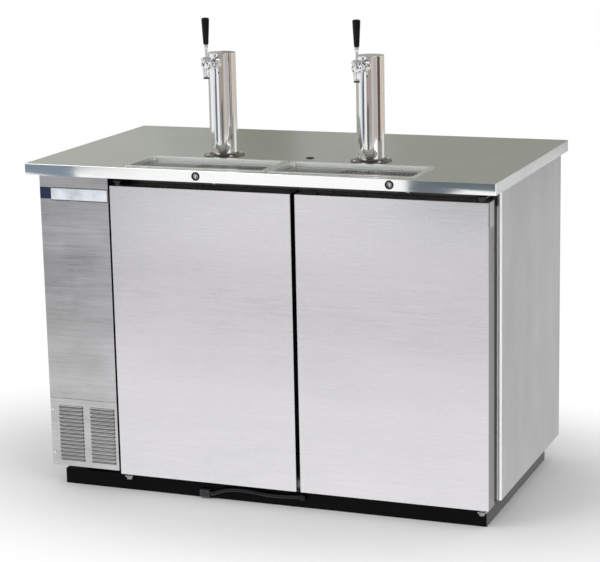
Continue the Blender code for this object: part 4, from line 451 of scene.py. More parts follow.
def plywood(name, colour):
    """The board's layers, seen at its edges."""
    graph = Graph(name)
    layers = graph.add("ShaderNodeTexWave", bands_direction="Z")
    layers.inputs["Scale"].default_value = 60
    layers.inputs["Distortion"].default_value = 1.5
    graph.join(graph.place((1.0, 1.0, 3.0)), layers.inputs["Vector"])
    fibre = graph.noise((12.0, 260.0, 260.0), 4.0, 0.6)
    tone = graph.sum(graph.remap(layers.outputs["Fac"], 0.0, 1.0, 0.72, 1.05),
                     graph.remap(fibre, 0.3, 0.7, 0.85, 1.1), "MULTIPLY")
    graph.shade(colour, tone)
    graph.roughen(graph.remap(fibre, 0.3, 0.7, 0.6, 0.8))
    graph.relief(fibre, 0.0002)
    return graph.material


def finned(name, colour):
    """Pressed aluminium fins, close together."""
    graph = Graph(name)
    fins = graph.add("ShaderNodeTexWave", bands_direction="X")
    fins.inputs["Scale"].default_value = 130
    graph.join(graph.place((1.0, 1.0, 1.0)), fins.inputs["Vector"])
    dust = graph.noise((40.0, 40.0, 40.0), 4.0, 0.6)
    tone = graph.sum(graph.remap(fins.outputs["Fac"], 0.0, 1.0, 0.35, 1.0),
                     graph.remap(dust, 0.3, 0.7, 0.8, 1.05), "MULTIPLY")
    graph.shade(colour, tone)
    graph.fix(Metallic=0.9)
    graph.roughen(graph.remap(dust, 0.3, 0.7, 0.35, 0.6))
    graph.relief(fins.outputs["Fac"], 0.0006)
    return graph.material


def hose_skin(name, colour, rough=0.2, see_through=0.0, specular=0.5):
    """Smooth hose, a little hazy."""
    graph = Graph(name)
    haze = graph.noise((60.0, 60.0, 60.0), 3.0, 0.55)
    graph.shade(colour, graph.remap(haze, 0.3, 0.7, 0.85, 1.15))
    graph.fix(Transmission_Weight=see_through, Specular_IOR_Level=specular)
    graph.roughen(graph.remap(haze, 0.3, 0.7, rough * 0.8, rough * 1.4))
    graph.relief(haze, 0.0001)
    return graph.material


def make_finishes(scene):
    """Every finish of the cooler, by name."""
    steel, trim = scene.keg_steel, scene.keg_trim
    return {
        "door": brushed("brushed_door", steel.door, "X", 0.3, 0.045, 0.03, 0.03),
        # The door skin's side faces get a much darker copy of the door steel: painted shade.
        "door_edge": brushed("door_edge_painted_shade", (0.17, 0.17, 0.165), "Z", 0.3, 0.12, 0.08, 0.04),
        "panel": brushed("brushed_panel", steel.panel, "X", 0.32, 0.12, 0.14, 0.05),
        "grille": brushed("brushed_grille", (0.6, 0.59, 0.6), "X", 0.32, 0.1, 0.14, 0.05),
        # The louvre hoods get a much darker copy of the grille steel: painted shade.
        "hood": brushed("louvre_painted_shade", (0.25, 0.245, 0.25), "X", 0.2, 0.16, 0.12, 0.06),
        # The side skins wear a darker copy of the cabinet's brushed steel: painted shade.
        "side": brushed("brushed_side_painted_shade", steel.side, "Z", 0.34, 0.06, 0.12, 0.04),
        # The side skin's front fold and return get a near-white copy of the side steel: painted highlight.
        "fold": brushed("fold_painted_highlight", (0.9, 0.9, 0.9), "Z", 0.2, 0.03, 0.02, 0.02),
        "worktop": brushed("brushed_worktop", steel.worktop, "Y", 0.24, 0.012, 0.03, 0.01, 0.012, 0.000003),
        # The worktop's front lip gets a much lighter copy of the worktop steel: painted highlight; its low
        # roughness is its polish.
        "lip": brushed("polished_lip_painted_highlight", (0.94, 0.95, 0.94), "X", 0.07, 0.02, 0.02, 0.02, 0.02, 0.000002),
        # The worktop's end folds get a darker blue-grey copy of the worktop steel: painted shade and
        # reflection.
        "side_lip": brushed("side_lip_painted_shade", (0.5, 0.52, 0.52), "Y", 0.2, 0.06, 0.14, 0.04, 0.05, 0.00001),
        "tray": brushed("tray_steel", (0.9, 0.92, 0.89), "X", 0.36, 0.04, 0.05, 0.03, 0.03, 0.000005),
        # The tray's floor and the foot of its walls get a near-black copy of the tray steel: painted shade.
        "sump": brushed("sump_painted_shade", (0.05, 0.05, 0.048), "X", 0.4, 0.1, 0.1, 0.05),
        # The tray grids get a much darker copy of the tray steel: painted shade and reflection.
        "grid": brushed("grid_painted_shade", (0.24, 0.245, 0.235), "X", 0.36, 0.05, 0.06, 0.03, 0.03, 0.000005),
        # The face frame, seen in the gaps round the doors, gets a dark copy of the cabinet steel: painted
        # shade.
        "frame": brushed("frame_painted_shade", (0.2, 0.2, 0.195), "Z", 0.32, 0.1, 0.08, 0.04),
        "post": brushed("dark_steel", (0.12, 0.12, 0.12), "Z", 0.4, 0.08, 0.08, 0.04),
        "liner": brushed("liner_steel", (0.62, 0.63, 0.65), "Z", 0.38, 0.05, 0.06, 0.03),
        "door_liner": brushed("door_liner_steel", (0.66, 0.67, 0.68), "Z", 0.36, 0.05, 0.05, 0.03),
        "column": polished("polished_column", steel.polished, 0.05, grain="Z"),
        "chrome": polished("plated_chrome", steel.chrome, 0.05),
        # The column feet get a dark brownish copy of the polished steel: painted shade.
        "foot": polished("foot_painted_shade", (0.2, 0.18, 0.165), 0.08),
        # The lock collars get a near-black copy of the chrome, standing for a dark reflection: painted
        # reflection.
        "lock": polished("lock_chrome_painted_reflection", (0.05, 0.05, 0.052), 0.12),
        "core": polished("lock_core_steel", (0.36, 0.36, 0.37), 0.18),
        # The upper hinge brackets, under the worktop's lip, get a near-black copy of plated metal: painted
        # shade.
        "bracket": polished("bracket_painted_shade", (0.06, 0.06, 0.055), 0.3),
        # The lower hinge brackets get a darkened copy of the chrome: painted shade.
        "hinge": polished("hinge_chrome_painted_shade", (0.3, 0.3, 0.3), 0.08),
        # The hinge cheeks wear this dark steel as painted shade; the badge rim wears it as its own dark border.
        "cheek": brushed("cheek_painted_shade_and_dark_rim", (0.28, 0.28, 0.265), "Z", 0.25, 0.14, 0.1, 0.05),
        "screw": polished("screw_steel", (0.9, 0.9, 0.88), 0.25),
        "nut": polished("zinc_nut", (0.6, 0.61, 0.6), 0.22),
        "brass": polished("turned_brass", (0.72, 0.5, 0.2), 0.2),
        "copper": polished("drawn_copper", (0.74, 0.36, 0.22), 0.24),
        "paint": gloss_paint("black_paint", trim.paint, 0.16, 0.05, 1.6),
        "handle": gloss_paint("handle_black", trim.handle, 0.14, 0.18, 1.5),
        "pull": gloss_paint("pull_black", (0.13, 0.132, 0.126), 0.24, 0.3, 1.6),
        "plug": moulded("plug_plastic", (0.02, 0.02, 0.02), 0.35),
        "dark": moulded("dark_plastic", (0.03, 0.03, 0.032), 0.4),
        "rubber": moulded("seal_rubber", trim.rubber, 0.5, 500.0, 0.00005),
        "tile": moulded("blank_tile", trim.tile, 0.2, 500.0, 0.00001),
        "plate": moulded("blank_plate", (0.78, 0.82, 0.88), 0.35, 500.0, 0.00001),
        "clip": moulded("clip_plastic", (0.022, 0.024, 0.027), 0.4),
        "drain": hose_skin("drain_rubber", (0.005, 0.0055, 0.007), 0.16, 0.0, 0.22),
        "hose": hose_skin("beer_hose", (0.78, 0.8, 0.76), 0.2, 0.4),
        "zinc": galvanised("zinc_sheet", (0.52, 0.54, 0.56)),
        "ply": plywood("sealed_board", (0.12, 0.11, 0.10)),
        "fins": finned("coil_fins", (0.7, 0.71, 0.72)),
    }


FINISH = {}
PIECES = []

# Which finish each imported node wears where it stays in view; an open end stands for left and right
NODE_FINISHES = {
    "door": ("door_skin_",),
    "panel": ("front_panel",),
    "grille": ("louvre_grille",),
    "side": ("left_side_panel", "right_side_panel"),
    "worktop": ("worktop",),
    "tray": ("drip_tray_",),
    "grid": ("tray_grid_",),
    "frame": ("face_frame",),
    "post": ("hinge_post",),
    "liner": ("liner", "evaporator_case"),
    "door_liner": ("door_core_",),
    "column": ("column_",),
    "chrome": (
        "tap_body_", "tap_bonnet_", "tap_lever_", "tap_shank_", "coupling_nut_", "lock_barrel_", "lock_plug_",
        "hinge_lower_", "hinge_upper_",
    ),
    "brass": ("valve_plunger_",),
    "copper": ("refrigerant_pipe",),
    "paint": ("base_frame", "fan_shroud", "compressor"),
    "handle": ("tap_handle_",),
    "pull": ("door_pull_",),
    "plug": ("hole_plug",),
    "dark": ("condenser_fan", "evaporator_fan"),
    "rubber": ("door_gasket_",),
    "drain": ("drain_hose",),
    "hose": ("beer_line_",),
    "zinc": ("insulated_body", "top_insulation", "back_panel"),
    "ply": ("worktop_battens",),
    "fins": ("condenser_coil",),
}


# Modelling


def block(bm, low, high):
    """A box between two corners; returns its vertices."""
    low, high = Vector(low), Vector(high)
    place = Matrix.Translation((low + high) / 2) @ Matrix.Diagonal((*(high - low), 1))
    return bmesh.ops.create_cube(bm, size=1, matrix=place)["verts"]


def edges_of(verts):
    return list({edge for vert in verts for edge in vert.link_edges})


def running(edges, axis):
    """Those of the edges that run along an axis."""
    others = [other for other in range(3) if other != axis]
    return [
        edge for edge in edges if all(abs(edge.verts[0].co[a] - edge.verts[1].co[a]) < MERGE for a in others)
    ]


def on_plane(items, axis, value):
    """Those of the edges or faces that lie in the plane across an axis."""
    return [item for item in items if all(abs(vert.co[axis] - value) < MERGE for vert in item.verts)]


def soften(bm, edges, radius, segments=3):
    bmesh.ops.bevel(
        bm, geom=edges, offset=radius, segments=segments, profile=0.5, affect="EDGES", material=-1
    )


def soft_block(bm, low, high, radius=SOFT, segments=2):
    soften(bm, edges_of(block(bm, low, high)), radius, segments)


def remove_faces(bm, faces):
    bmesh.ops.delete(bm, geom=faces, context="FACES")


def slice_at(bm, axis, value):
    normal = Vector()
    normal[axis] = 1
    geometry = bm.verts[:] + bm.edges[:] + bm.faces[:]
    bmesh.ops.bisect_plane(bm, geom=geometry, dist=MERGE, plane_co=normal * value, plane_no=normal)


def lathe(bm, profile, origin, axis=Z_AXIS, steps=LATHE_STEPS, ring=False):
    """A shape turned about an axis from (along, radius) pairs; a ring's profile closes on itself."""
    axis = Vector(axis).normalized()
    side = axis.orthogonal().normalized()
    verts = [bm.verts.new(Vector(origin) + axis * along + side * radius) for along, radius in profile]
    pairs = list(zip(verts, verts[1:]))
    if ring:
        pairs.append((verts[-1], verts[0]))
    edges = [bm.edges.new(pair) for pair in pairs]
    bmesh.ops.spin(
        bm, geom=verts + edges, cent=origin, axis=axis, angle=math.tau, steps=steps, use_merge=True
    )
    bmesh.ops.remove_doubles(bm, verts=bm.verts, dist=MERGE)


def arc(centre, radius, start, end, steps):
    """Points of an arc in a profile, from one angle in degrees to another."""
    made = []
    for step in range(steps + 1):
        angle = math.radians(start + (end - start) * step / steps)
        made.append((centre[0] + radius * math.sin(angle), centre[1] + radius * math.cos(angle)))
    return made


def swept_frame(bm, low, high, profile):
    """A picture frame in the XZ plane: profile is a closed row of (inset, y) pairs."""
    rings = []
    for inset, y in profile:
        x0, x1, z0, z1 = low.x + inset, high.x - inset, low.z + inset, high.z - inset
        rings.append([bm.verts.new((x, y, z)) for x, z in ((x0, z0), (x1, z0), (x1, z1), (x0, z1))])
    for near, far in zip(rings, rings[1:] + rings[:1]):
        for index in range(4):
            after = (index + 1) % 4
            bm.faces.new((near[index], near[after], far[after], far[index]))


def tube(points, radius, sides=4):
    """A bmesh of a round tube along points, with filled ends."""
    curve = bpy.data.curves.new("tube", "CURVE")
    curve.dimensions = "3D"
    curve.bevel_depth = radius
    curve.bevel_resolution = sides
    curve.use_fill_caps = True
    spline = curve.splines.new("POLY")
    spline.points.add(len(points) - 1)
    for point, place in zip(spline.points, points):
        point.co = (*place, 1)
    carrier = bpy.data.objects.new("tube", curve)
    bpy.context.scene.collection.objects.link(carrier)
    graph = bpy.context.evaluated_depsgraph_get()
    bm = bmesh.new()
    bm.from_mesh(carrier.evaluated_get(graph).to_mesh())
    bpy.data.objects.remove(carrier)
    return bm


def smooth_path(points, steps):
    """A smooth curve through the points, as more points."""
    points = [Vector(point) for point in points]
    ends = [points[0] * 2 - points[1], *points, points[-1] * 2 - points[-2]]
    made = []
    for a, b, c, d in zip(ends, ends[1:], ends[2:], ends[3:]):
        for step in range(steps):
            t = step / steps
            bend = (a * 2 - b * 5 + c * 4 - d) * t**2 + (b * 3 - a - c * 3 + d) * t**3
            made.append((b * 2 + (c - a) * t + bend) / 2)
    return [*made, points[-1]]


def smooth_shading(mesh, crease):
    mesh.shade_smooth()
    mesh.set_sharp_from_angle(angle=math.radians(crease))


def placed(name, bm):
    """A new object in the scene from a bmesh."""
    mesh = bpy.data.meshes.new(name)
    bm.to_mesh(mesh)
    bm.free()
    made = bpy.data.objects.new(name, mesh)
    bpy.context.scene.collection.objects.link(made)
    return made


def piece(name, bm, body, finish, stands_for=(), crease=CREASE):
    """A finished piece from a bmesh, on its body."""
    bmesh.ops.remove_doubles(bm, verts=bm.verts, dist=MERGE)
    bmesh.ops.recalc_face_normals(bm, faces=bm.faces)
    made = placed(name, bm)
    smooth_shading(made.data, crease)
    made.data.materials.append(FINISH[finish])
    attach(made, body)
    if stands_for:
        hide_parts(*stands_for)
    PIECES.append(made)
    return made


def repaint(made, finish, chosen):
    """A further finish on the faces that the test chooses."""
    made.data.materials.append(FINISH[finish])
    for face in made.data.polygons:
        if chosen(face):
            face.material_index = len(made.data.materials) - 1


def keep_flats(made):
    """Shades a flat face flat up to its soft edges."""
    modifier = made.modifiers.new("flats", "WEIGHTED_NORMAL")
    modifier.keep_sharp = True
    modifier.weight = 100


def settle(target, crease):
    """Makes an object's modifiers part of its mesh."""
    graph = bpy.context.evaluated_depsgraph_get()
    mesh = bpy.data.meshes.new_from_object(target.evaluated_get(graph))
    target.modifiers.clear()
    target.data = mesh
    mesh.name = target.name
    smooth_shading(mesh, crease)


def carve(target, bm, crease=CREASE):
    """Cuts a bmesh out of a piece."""
    bmesh.ops.recalc_face_normals(bm, faces=bm.faces)
    cutter = placed("cutter", bm)
    modifier = target.modifiers.new("cut", "BOOLEAN")
    modifier.operation = "DIFFERENCE"
    modifier.solver = "EXACT"
    modifier.object = cutter
    settle(target, crease)
    bpy.data.objects.remove(cutter)


def thicken(target, wall, even=True):
    """A sheet's thickness, added behind its outer face."""
    modifier = target.modifiers.new("sheet", "SOLIDIFY")
    modifier.thickness = wall
    modifier.offset = -1
    modifier.use_even_offset = even


def centre_of(node):
    low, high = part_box(node)
    return (low + high) / 2


# Worktop


def worktop_openings():
    """The cut-outs for the trays in the worktop, as low x, low y, high x, high y."""
    inset = TRAY_RIM - TRAY_LAP
    made = []
    for side in SIDES:
        low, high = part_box("drip_tray_" + side)
        made.append((low.x + inset, low.y + inset, high.x - inset, high.y - inset))
    return made


class KEG_OT_worktop(bpy.types.Operator):
    """The folded steel worktop with its front lip"""

    bl_idname = "keg_cooler.worktop"
    bl_label = "Worktop"

    def execute(self, context):
        low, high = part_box("worktop")
        bm = bmesh.new()
        edges = edges_of(block(bm, low, high))
        soften(bm, on_plane(edges, 2, high.z) + running(edges, 2), FOLD, FOLD_STEPS)
        remove_faces(bm, on_plane(bm.faces, 2, low.z))
        for x0, y0, x1, y1 in worktop_openings():
            for axis, value in ((0, x0), (0, x1), (1, y0), (1, y1)):
                slice_at(bm, axis, value)
            inside = [
                face
                for face in on_plane(bm.faces, 2, high.z)
                if x0 < face.calc_center_median().x < x1 and y0 < face.calc_center_median().y < y1
            ]
            remove_faces(bm, inside)
        sheet = piece("worktop_sheet", bm, "cabinet", "worktop", ("worktop",))
        # Painted light: the lip's faces wear a lighter copy of the worktop steel, a painted highlight, and the
        # end folds a darker blue-grey copy, painted shade.
        repaint(sheet, "lip", lambda face: face.normal.z < 0.5)
        repaint(sheet, "side_lip", lambda face: face.normal.z < 0.5 and abs(face.normal.x) > 0.98)
        thicken(sheet, SHEET)
        return {"FINISHED"}


# Trays


def widen(bm, verts, middle, half, wider):
    """Spreads verts in plan about the middle, so that half becomes wider."""
    spread = Matrix.Diagonal((wider.x / half.x, wider.y / half.y, 1, 1))
    bmesh.ops.transform(
        bm, matrix=Matrix.Translation(middle) @ spread @ Matrix.Translation(-middle), verts=verts
    )


def drawn_out(bm, edges):
    """Extrudes edges in place; returns the new vertices."""
    geometry = bmesh.ops.extrude_edge_only(bm, edges=edges)["geom"]
    return [item for item in geometry if isinstance(item, bmesh.types.BMVert)]


def tray_shell(side):
    """One pan: floor, walls that flare above the grid, and a flat rim that lies on the worktop."""
    low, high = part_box("drip_tray_" + side)
    rim = TRAY_RIM + SHEET
    grid_low, grid_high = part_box("tray_grid_" + side)
    floor_z = grid_low.z - GRID_SEAT
    bm = bmesh.new()
    inner_low = Vector((low.x + rim, low.y + rim, floor_z))
    inner_high = Vector((high.x - rim, high.y - rim, high.z))
    edges = edges_of(block(bm, inner_low, inner_high))
    soften(bm, running(edges, 2), TRAY_CORNER, TRAY_CORNER_STEPS)
    remove_faces(bm, on_plane(bm.faces, 2, high.z))
    soften(bm, on_plane(bm.edges, 2, floor_z), TRAY_FLOOR_FILLET, 4)
    slice_at(bm, 2, grid_high.z - FLARE_START)
    middle = (inner_low + inner_high) / 2
    half = (inner_high - inner_low) / 2
    flared = half + Vector((0, TRAY_FLARE, 0))
    top = [vert for vert in bm.verts if abs(vert.co.z - high.z) < MERGE]
    widen(bm, top, middle, half, flared)
    outer = drawn_out(bm, on_plane(bm.edges, 2, high.z))
    widen(bm, outer, middle, flared, half + Vector((rim, rim, 0)))
    skirt = drawn_out(bm, [edge for edge in bm.edges if edge.is_boundary])
    bmesh.ops.translate(bm, vec=(0, 0, -SHEET), verts=skirt)
    bm.normal_update()
    mouth = [
        edge
        for edge in on_plane(bm.edges, 2, high.z)
        if len(edge.link_faces) == 2 and edge.calc_face_angle(0) > math.radians(60)
    ]
    soften(bm, mouth, SOFT, 2)
    return bm


def grid_plate(side):
    """The lift-out grid: a plate folded down at its ends, before its slanted slots are cut."""
    low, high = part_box("tray_grid_" + side)
    bm = bmesh.new()
    edges = edges_of(block(bm, low, high))
    fold = [edge for edge in running(edges, 1) if abs(edge.verts[0].co.z - high.z) < MERGE]
    soften(bm, fold, FOLD, 3)
    for axis, value in ((1, low.y), (1, high.y), (2, low.z)):
        remove_faces(bm, on_plane(bm.faces, axis, value))
    return bm


def slot_cutters(side):
    low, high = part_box("tray_grid_" + side)
    middle = (low + high) / 2
    bm = bmesh.new()
    first = Vector((
        middle.x + SLOT_OFFSET - SLOT_PITCH * (SLOT_COLUMNS - 1) / 2,
        middle.y - SLOT_ROW_PITCH * (SLOT_ROWS - 1) / 2,
        high.z,
    ))
    reach = 6 * MM
    for row in range(SLOT_ROWS):
        for column in range(SLOT_COLUMNS):
            place = first + Vector((SLOT_PITCH * column, SLOT_ROW_PITCH * row, 0))
            verts = block(
                bm, (-SLOT_WIDTH / 2, -SLOT_LENGTH / 2, -reach), (SLOT_WIDTH / 2, SLOT_LENGTH / 2, reach)
            )
            turn = Matrix.Translation(place) @ Matrix.Rotation(-SLOT_SLANT, 4, "Z")
            bmesh.ops.transform(bm, matrix=turn, verts=verts)
    soften(bm, [edge for edge in bm.edges if abs((edge.verts[0].co - edge.verts[1].co).z) > reach],
           SLOT_WIDTH * 0.45, 3)
    return bm


class KEG_OT_trays(bpy.types.Operator):
    """The two sunk drip trays and their lift-out grids"""

    bl_idname = "keg_cooler.trays"
    bl_label = "Drip trays"

    def execute(self, context):
        for side in SIDES:
            tray = piece(
                "tray_pan_" + side, tray_shell(side), "cabinet", "tray", ("drip_tray_" + side,)
            )
            # Painted shade: the faces below this height wear a near-black copy of the tray steel.
            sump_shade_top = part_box("tray_grid_" + side)[0].z + SUMP_SHADE_HEIGHT
            repaint(tray, "sump", lambda face: face.center.z < sump_shade_top)
            thicken(tray, SHEET)
            # The grid wears a darkened copy of the tray steel: painted shade.
            grid = piece(
                "drip_grid_" + side, grid_plate(side), "grid_" + side, "grid",
                ("tray_grid_" + side,),
            )
            thicken(grid, SHEET)
            carve(grid, slot_cutters(side))
        return {"FINISHED"}


# Columns


def screw(bm, place, axis, radius=SCREW_RADIUS, height=SCREW_HEIGHT):
    """A pan head with a cross cut, its flat side at place."""
    profile = [(-SEAT, 0), (-SEAT, radius * 0.96), (height * 0.3, radius), (height * 0.62, radius * 0.92)]
    profile += [(height * 0.88, radius * 0.66), (height, radius * 0.34), (height, 0)]
    lathe(bm, profile, place, axis, 16)


def screws(name, places, axis, radius=SCREW_RADIUS, height=SCREW_HEIGHT):
    """A set of screws as one piece, each head with its cross."""
    bm = bmesh.new()
    for place in places:
        screw(bm, place, axis, radius, height)
    made = piece(name, bm, "cabinet", "screw")
    turn = Z_AXIS.rotation_difference(Vector(axis)).to_matrix().to_4x4()
    length, width = radius * CROSS_LENGTH, radius * CROSS_WIDTH
    for x, y in ((length, width), (width, length)):
        bm = bmesh.new()
        for place in places:
            verts = block(bm, (-x, -y, height * CROSS_FLOOR), (x, y, height * 2))
            bmesh.ops.transform(bm, matrix=Matrix.Translation(place) @ turn, verts=verts)
        carve(made, bm)


class KEG_OT_columns(bpy.types.Operator):
    """The polished columns on their round feet"""

    bl_idname = "keg_cooler.columns"
    bl_label = "Columns"

    def execute(self, context):
        for side in SIDES:
            low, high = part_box("column_" + side)
            foot = (high.x - low.x) / 2
            origin = Vector(((low.x + high.x) / 2, (low.y + high.y) / 2, low.z))
            radius = COLUMN_RADIUS
            inside = radius - COLUMN_WALL
            height = high.z - low.z
            bm = bmesh.new()
            edge = COLUMN_CAP / 2
            profile = [(FLANGE_HEIGHT, inside), (FLANGE_HEIGHT, radius)]
            profile += [(height - edge * 2, radius)]
            profile += arc((height - edge * 1.6, radius - edge), edge, 0, 70, 5)
            profile += [(height - edge * 0.35, radius - edge * 1.8), (height, radius * 0.6), (height, 0)]
            lathe(bm, profile, origin, Z_AXIS, COLUMN_STEPS)
            piece("column_tube_" + side, bm, "cabinet", "column", ("column_" + side,), 28)
            bm = bmesh.new()
            profile = [(0, inside), (0, foot)]
            profile += arc((FLANGE_HEIGHT * 0.35, foot - FLANGE_HEIGHT * 0.35), FLANGE_HEIGHT * 0.35, 0, 90, 4)
            profile += [(FLANGE_HEIGHT * 0.85, radius + 9 * MM), (FLANGE_HEIGHT, radius + 6 * MM)]
            profile += [(FLANGE_HEIGHT * 1.15, radius + 3.4 * MM), (FLANGE_HEIGHT * 1.6, radius + 1.4 * MM)]
            profile += [(FLANGE_HEIGHT * 2.4, radius + 0.3 * MM), (FLANGE_HEIGHT * 2.6, inside)]
            lathe(bm, profile, origin, Z_AXIS, COLUMN_STEPS, ring=True)
            # The foot wears a darkened copy of the polished steel: painted shade.
            piece("column_foot_" + side, bm, "cabinet", "foot")
            places = []
            for quarter in range(4):
                angle = math.radians(45 + 90 * quarter)
                spread = Vector((math.cos(angle), math.sin(angle), 0)) * SCREW_CIRCLE
                places.append(origin + spread + Z_AXIS * FLANGE_HEIGHT * 0.72)
            screws("foot_screws_" + side, places, Z_AXIS)
        return {"FINISHED"}


# Taps


def tap_core(side):
    """The cast tap's barrel, neck and spout as overlapping turned shapes, later grown together with soft
    fillets.
    """
    x = centre_of("tap_body_" + side).x
    tap_z = centre_of("coupling_nut_" + side).z
    lever_y = centre_of("tap_lever_" + side).y
    start = Vector((x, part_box("coupling_nut_" + side)[0].y + BARREL_OVERLAP, tap_z))
    reach = start.y - lever_y
    bm = bmesh.new()
    profile = [(0, 0), (0, 10.5 * MM), (reach - 15 * MM, 10.6 * MM), (reach - 9 * MM, 12.2 * MM)]
    profile += [(reach - 4 * MM, 13.5 * MM), (reach, 14 * MM), (reach + 5 * MM, 13.2 * MM)]
    profile += [(reach + 9 * MM, 10.6 * MM), (reach + 11.4 * MM, 6.4 * MM), (reach + 12 * MM, 0)]
    lathe(bm, profile, start, -Y_AXIS, 40)
    pivot = Vector((x, lever_y, tap_z))
    lathe(bm, [(0, 0), (0, 11.8 * MM), (16 * MM, 11.8 * MM), (16 * MM, 0)], pivot, Z_AXIS, 40)
    down = Vector((0, -math.sin(SPOUT_LEAN), -math.cos(SPOUT_LEAN)))
    profile = [(0, 0), (0, 10 * MM), (12 * MM, 9.9 * MM), (18 * MM, 9.0 * MM), (27 * MM, 7.6 * MM)]
    profile += [(34.5 * MM, 6.9 * MM), (35.6 * MM, 6.6 * MM), (35.6 * MM, 0)]
    lathe(bm, profile, pivot, down, 40)
    return bm, pivot, down


class KEG_OT_taps(bpy.types.Operator):
    """The taps: shank flange, coupling nut, body, bonnet, lever and handle"""

    bl_idname = "keg_cooler.taps"
    bl_label = "Taps"

    def execute(self, context):
        for side in SIDES:
            self.shank(side)
            self.coupling(side)
            self.body(side)
            self.bonnet(side)
            self.lever(side)
            self.handle(side)
        return {"FINISHED"}

    def shank(self, side):
        """The threaded shank with the flange that covers the hole in the column."""
        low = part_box("tap_shank_" + side)[0]
        middle = centre_of("tap_shank_" + side)
        flange_radius = 15.5 * MM
        thread = 10.4 * MM
        bm = bmesh.new()
        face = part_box("coupling_nut_" + side)[1].y + 6 * MM
        origin = Vector((middle.x, face, middle.z))
        length = face - low.y
        profile = [(-16 * MM, 4 * MM), (-16 * MM, thread), (-9 * MM, thread), (-9 * MM, 15 * MM)]
        profile += [(-9 * MM + 2.5 * MM, 15 * MM), (-9 * MM + 2.5 * MM, thread), (0.3 * MM, thread)]
        profile += [(0.3 * MM, flange_radius - SOFT), (0.7 * MM, flange_radius), (2.2 * MM, flange_radius)]
        profile += [(3.2 * MM, flange_radius - 1.4 * MM), (3.6 * MM, thread + 1.6 * MM), (4 * MM, thread)]
        along = 4.6 * MM
        pitch = 1.4 * MM
        while along < length - pitch:
            profile += [(along, thread), (along + pitch / 2, thread - 0.7 * MM)]
            along += pitch
        profile += [(length, thread - 0.4 * MM), (length, 4 * MM)]
        lathe(bm, profile, origin, -Y_AXIS, LATHE_STEPS, ring=True)
        piece("shank_" + side, bm, "cabinet", "chrome", ("tap_shank_" + side,), 30)

    def coupling(self, side):
        """The round coupling nut with its spanner holes and a turned groove."""
        low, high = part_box("coupling_nut_" + side)
        middle = (low + high) / 2
        length = high.y - low.y
        radius = (high.x - low.x) / 2
        bm = bmesh.new()
        origin = Vector((middle.x, high.y, middle.z))
        profile = [(0, 10.7 * MM), (0, radius - 1.6 * MM), (0.6 * MM, radius - 0.6 * MM), (1.6 * MM, radius)]
        profile += [(length * 0.3, radius), (length * 0.34, radius - 0.7 * MM)]
        profile += [(length * 0.4, radius - 0.7 * MM), (length * 0.44, radius)]
        profile += [(length - 1.8 * MM, radius), (length - 0.6 * MM, radius - 0.7 * MM)]
        profile += [(length, radius - 1.8 * MM), (length, 10.9 * MM)]
        lathe(bm, profile, origin, -Y_AXIS, LATHE_STEPS, ring=True)
        nut = piece("coupling_ring_" + side, bm, "cabinet", "chrome", ("coupling_nut_" + side,), 30)
        holes = bmesh.new()
        for index in range(4):
            angle = math.radians(90 * index + 20)
            out = Vector((math.cos(angle), 0, math.sin(angle)))
            start = origin - Y_AXIS * length * 0.68 + out * radius * 0.8
            lathe(holes, [(0, 0), (0, 2.2 * MM), (8 * MM, 2.2 * MM), (8 * MM, 0)], start, out, 16)
        carve(nut, holes, crease=30)

    def body(self, side):
        bm, pivot, down = tap_core(side)
        made = piece("tap_casting_" + side, bm, "cabinet", "chrome", ("tap_body_" + side,))
        remesh = made.modifiers.new("fillets", "REMESH")
        remesh.mode = "VOXEL"
        remesh.voxel_size = BODY_VOXEL
        soft = made.modifiers.new("soft", "SMOOTH")
        soft.factor = 0.5
        soft.iterations = BODY_SMOOTHING
        settle(made, 60)
        bore = bmesh.new()
        lathe(bore, [(8 * MM, 0), (8 * MM, 4.6 * MM), (40 * MM, 4.9 * MM), (40 * MM, 0)], pivot, down, 32)
        carve(made, bore, crease=40)
        well = bmesh.new()
        ball_z = centre_of("tap_bonnet_" + side).z - pivot.z
        lathe(well, [(-4 * MM, 0), (-4 * MM, 6.6 * MM), (4 * MM, 6.8 * MM), (ball_z - 8 * MM, 8.5 * MM),
                     (30 * MM, 8.5 * MM), (30 * MM, 0)], pivot, Z_AXIS, 32)
        carve(made, well, crease=40)
        barrel = bmesh.new()
        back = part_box("coupling_nut_" + side)[0].y + 12 * MM
        lathe(barrel, [(0, 0), (0, 7.4 * MM),
                       (back - pivot.y + 7 * MM, 7.4 * MM), (back - pivot.y + 7 * MM, 0)],
              pivot - Y_AXIS * 7 * MM, Y_AXIS, 32)
        carve(made, barrel, crease=40)
        tip = bmesh.new()
        lathe(tip, [(31.4 * MM, 5.2 * MM), (31.4 * MM, 7.5 * MM), (32 * MM, 7.8 * MM), (35.2 * MM, 7.5 * MM),
                    (35.8 * MM, 7 * MM), (35.8 * MM, 5.2 * MM)], pivot, down, 40, ring=True)
        piece("spout_tip_" + side, tip, "cabinet", "rubber")

    def bonnet(self, side):
        low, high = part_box("tap_bonnet_" + side)
        middle = (low + high) / 2
        radius = (high.x - low.x) / 2
        tall = high.z - low.z
        bm = bmesh.new()
        profile = [(0, 12.3 * MM), (0, radius - 0.5 * MM), (0.5 * MM, radius), (tall * 0.42, radius)]
        profile += [(tall * 0.48, radius - 0.6 * MM), (tall * 0.6, radius - 0.6 * MM)]
        profile += [(tall * 0.7, radius - 1.2 * MM)]
        profile += [(tall * 0.92, 11.6 * MM), (tall, 10.9 * MM), (tall, 7.6 * MM), (tall * 0.8, 7.5 * MM)]
        profile += [(tall * 0.5, 8.6 * MM), (tall * 0.45, 12.3 * MM)]
        origin = Vector((middle.x, middle.y, low.z))
        lathe(bm, profile, origin, Z_AXIS, LATHE_STEPS, ring=True)
        piece("bonnet_" + side, bm, "cabinet", "chrome", ("tap_bonnet_" + side,), 30)

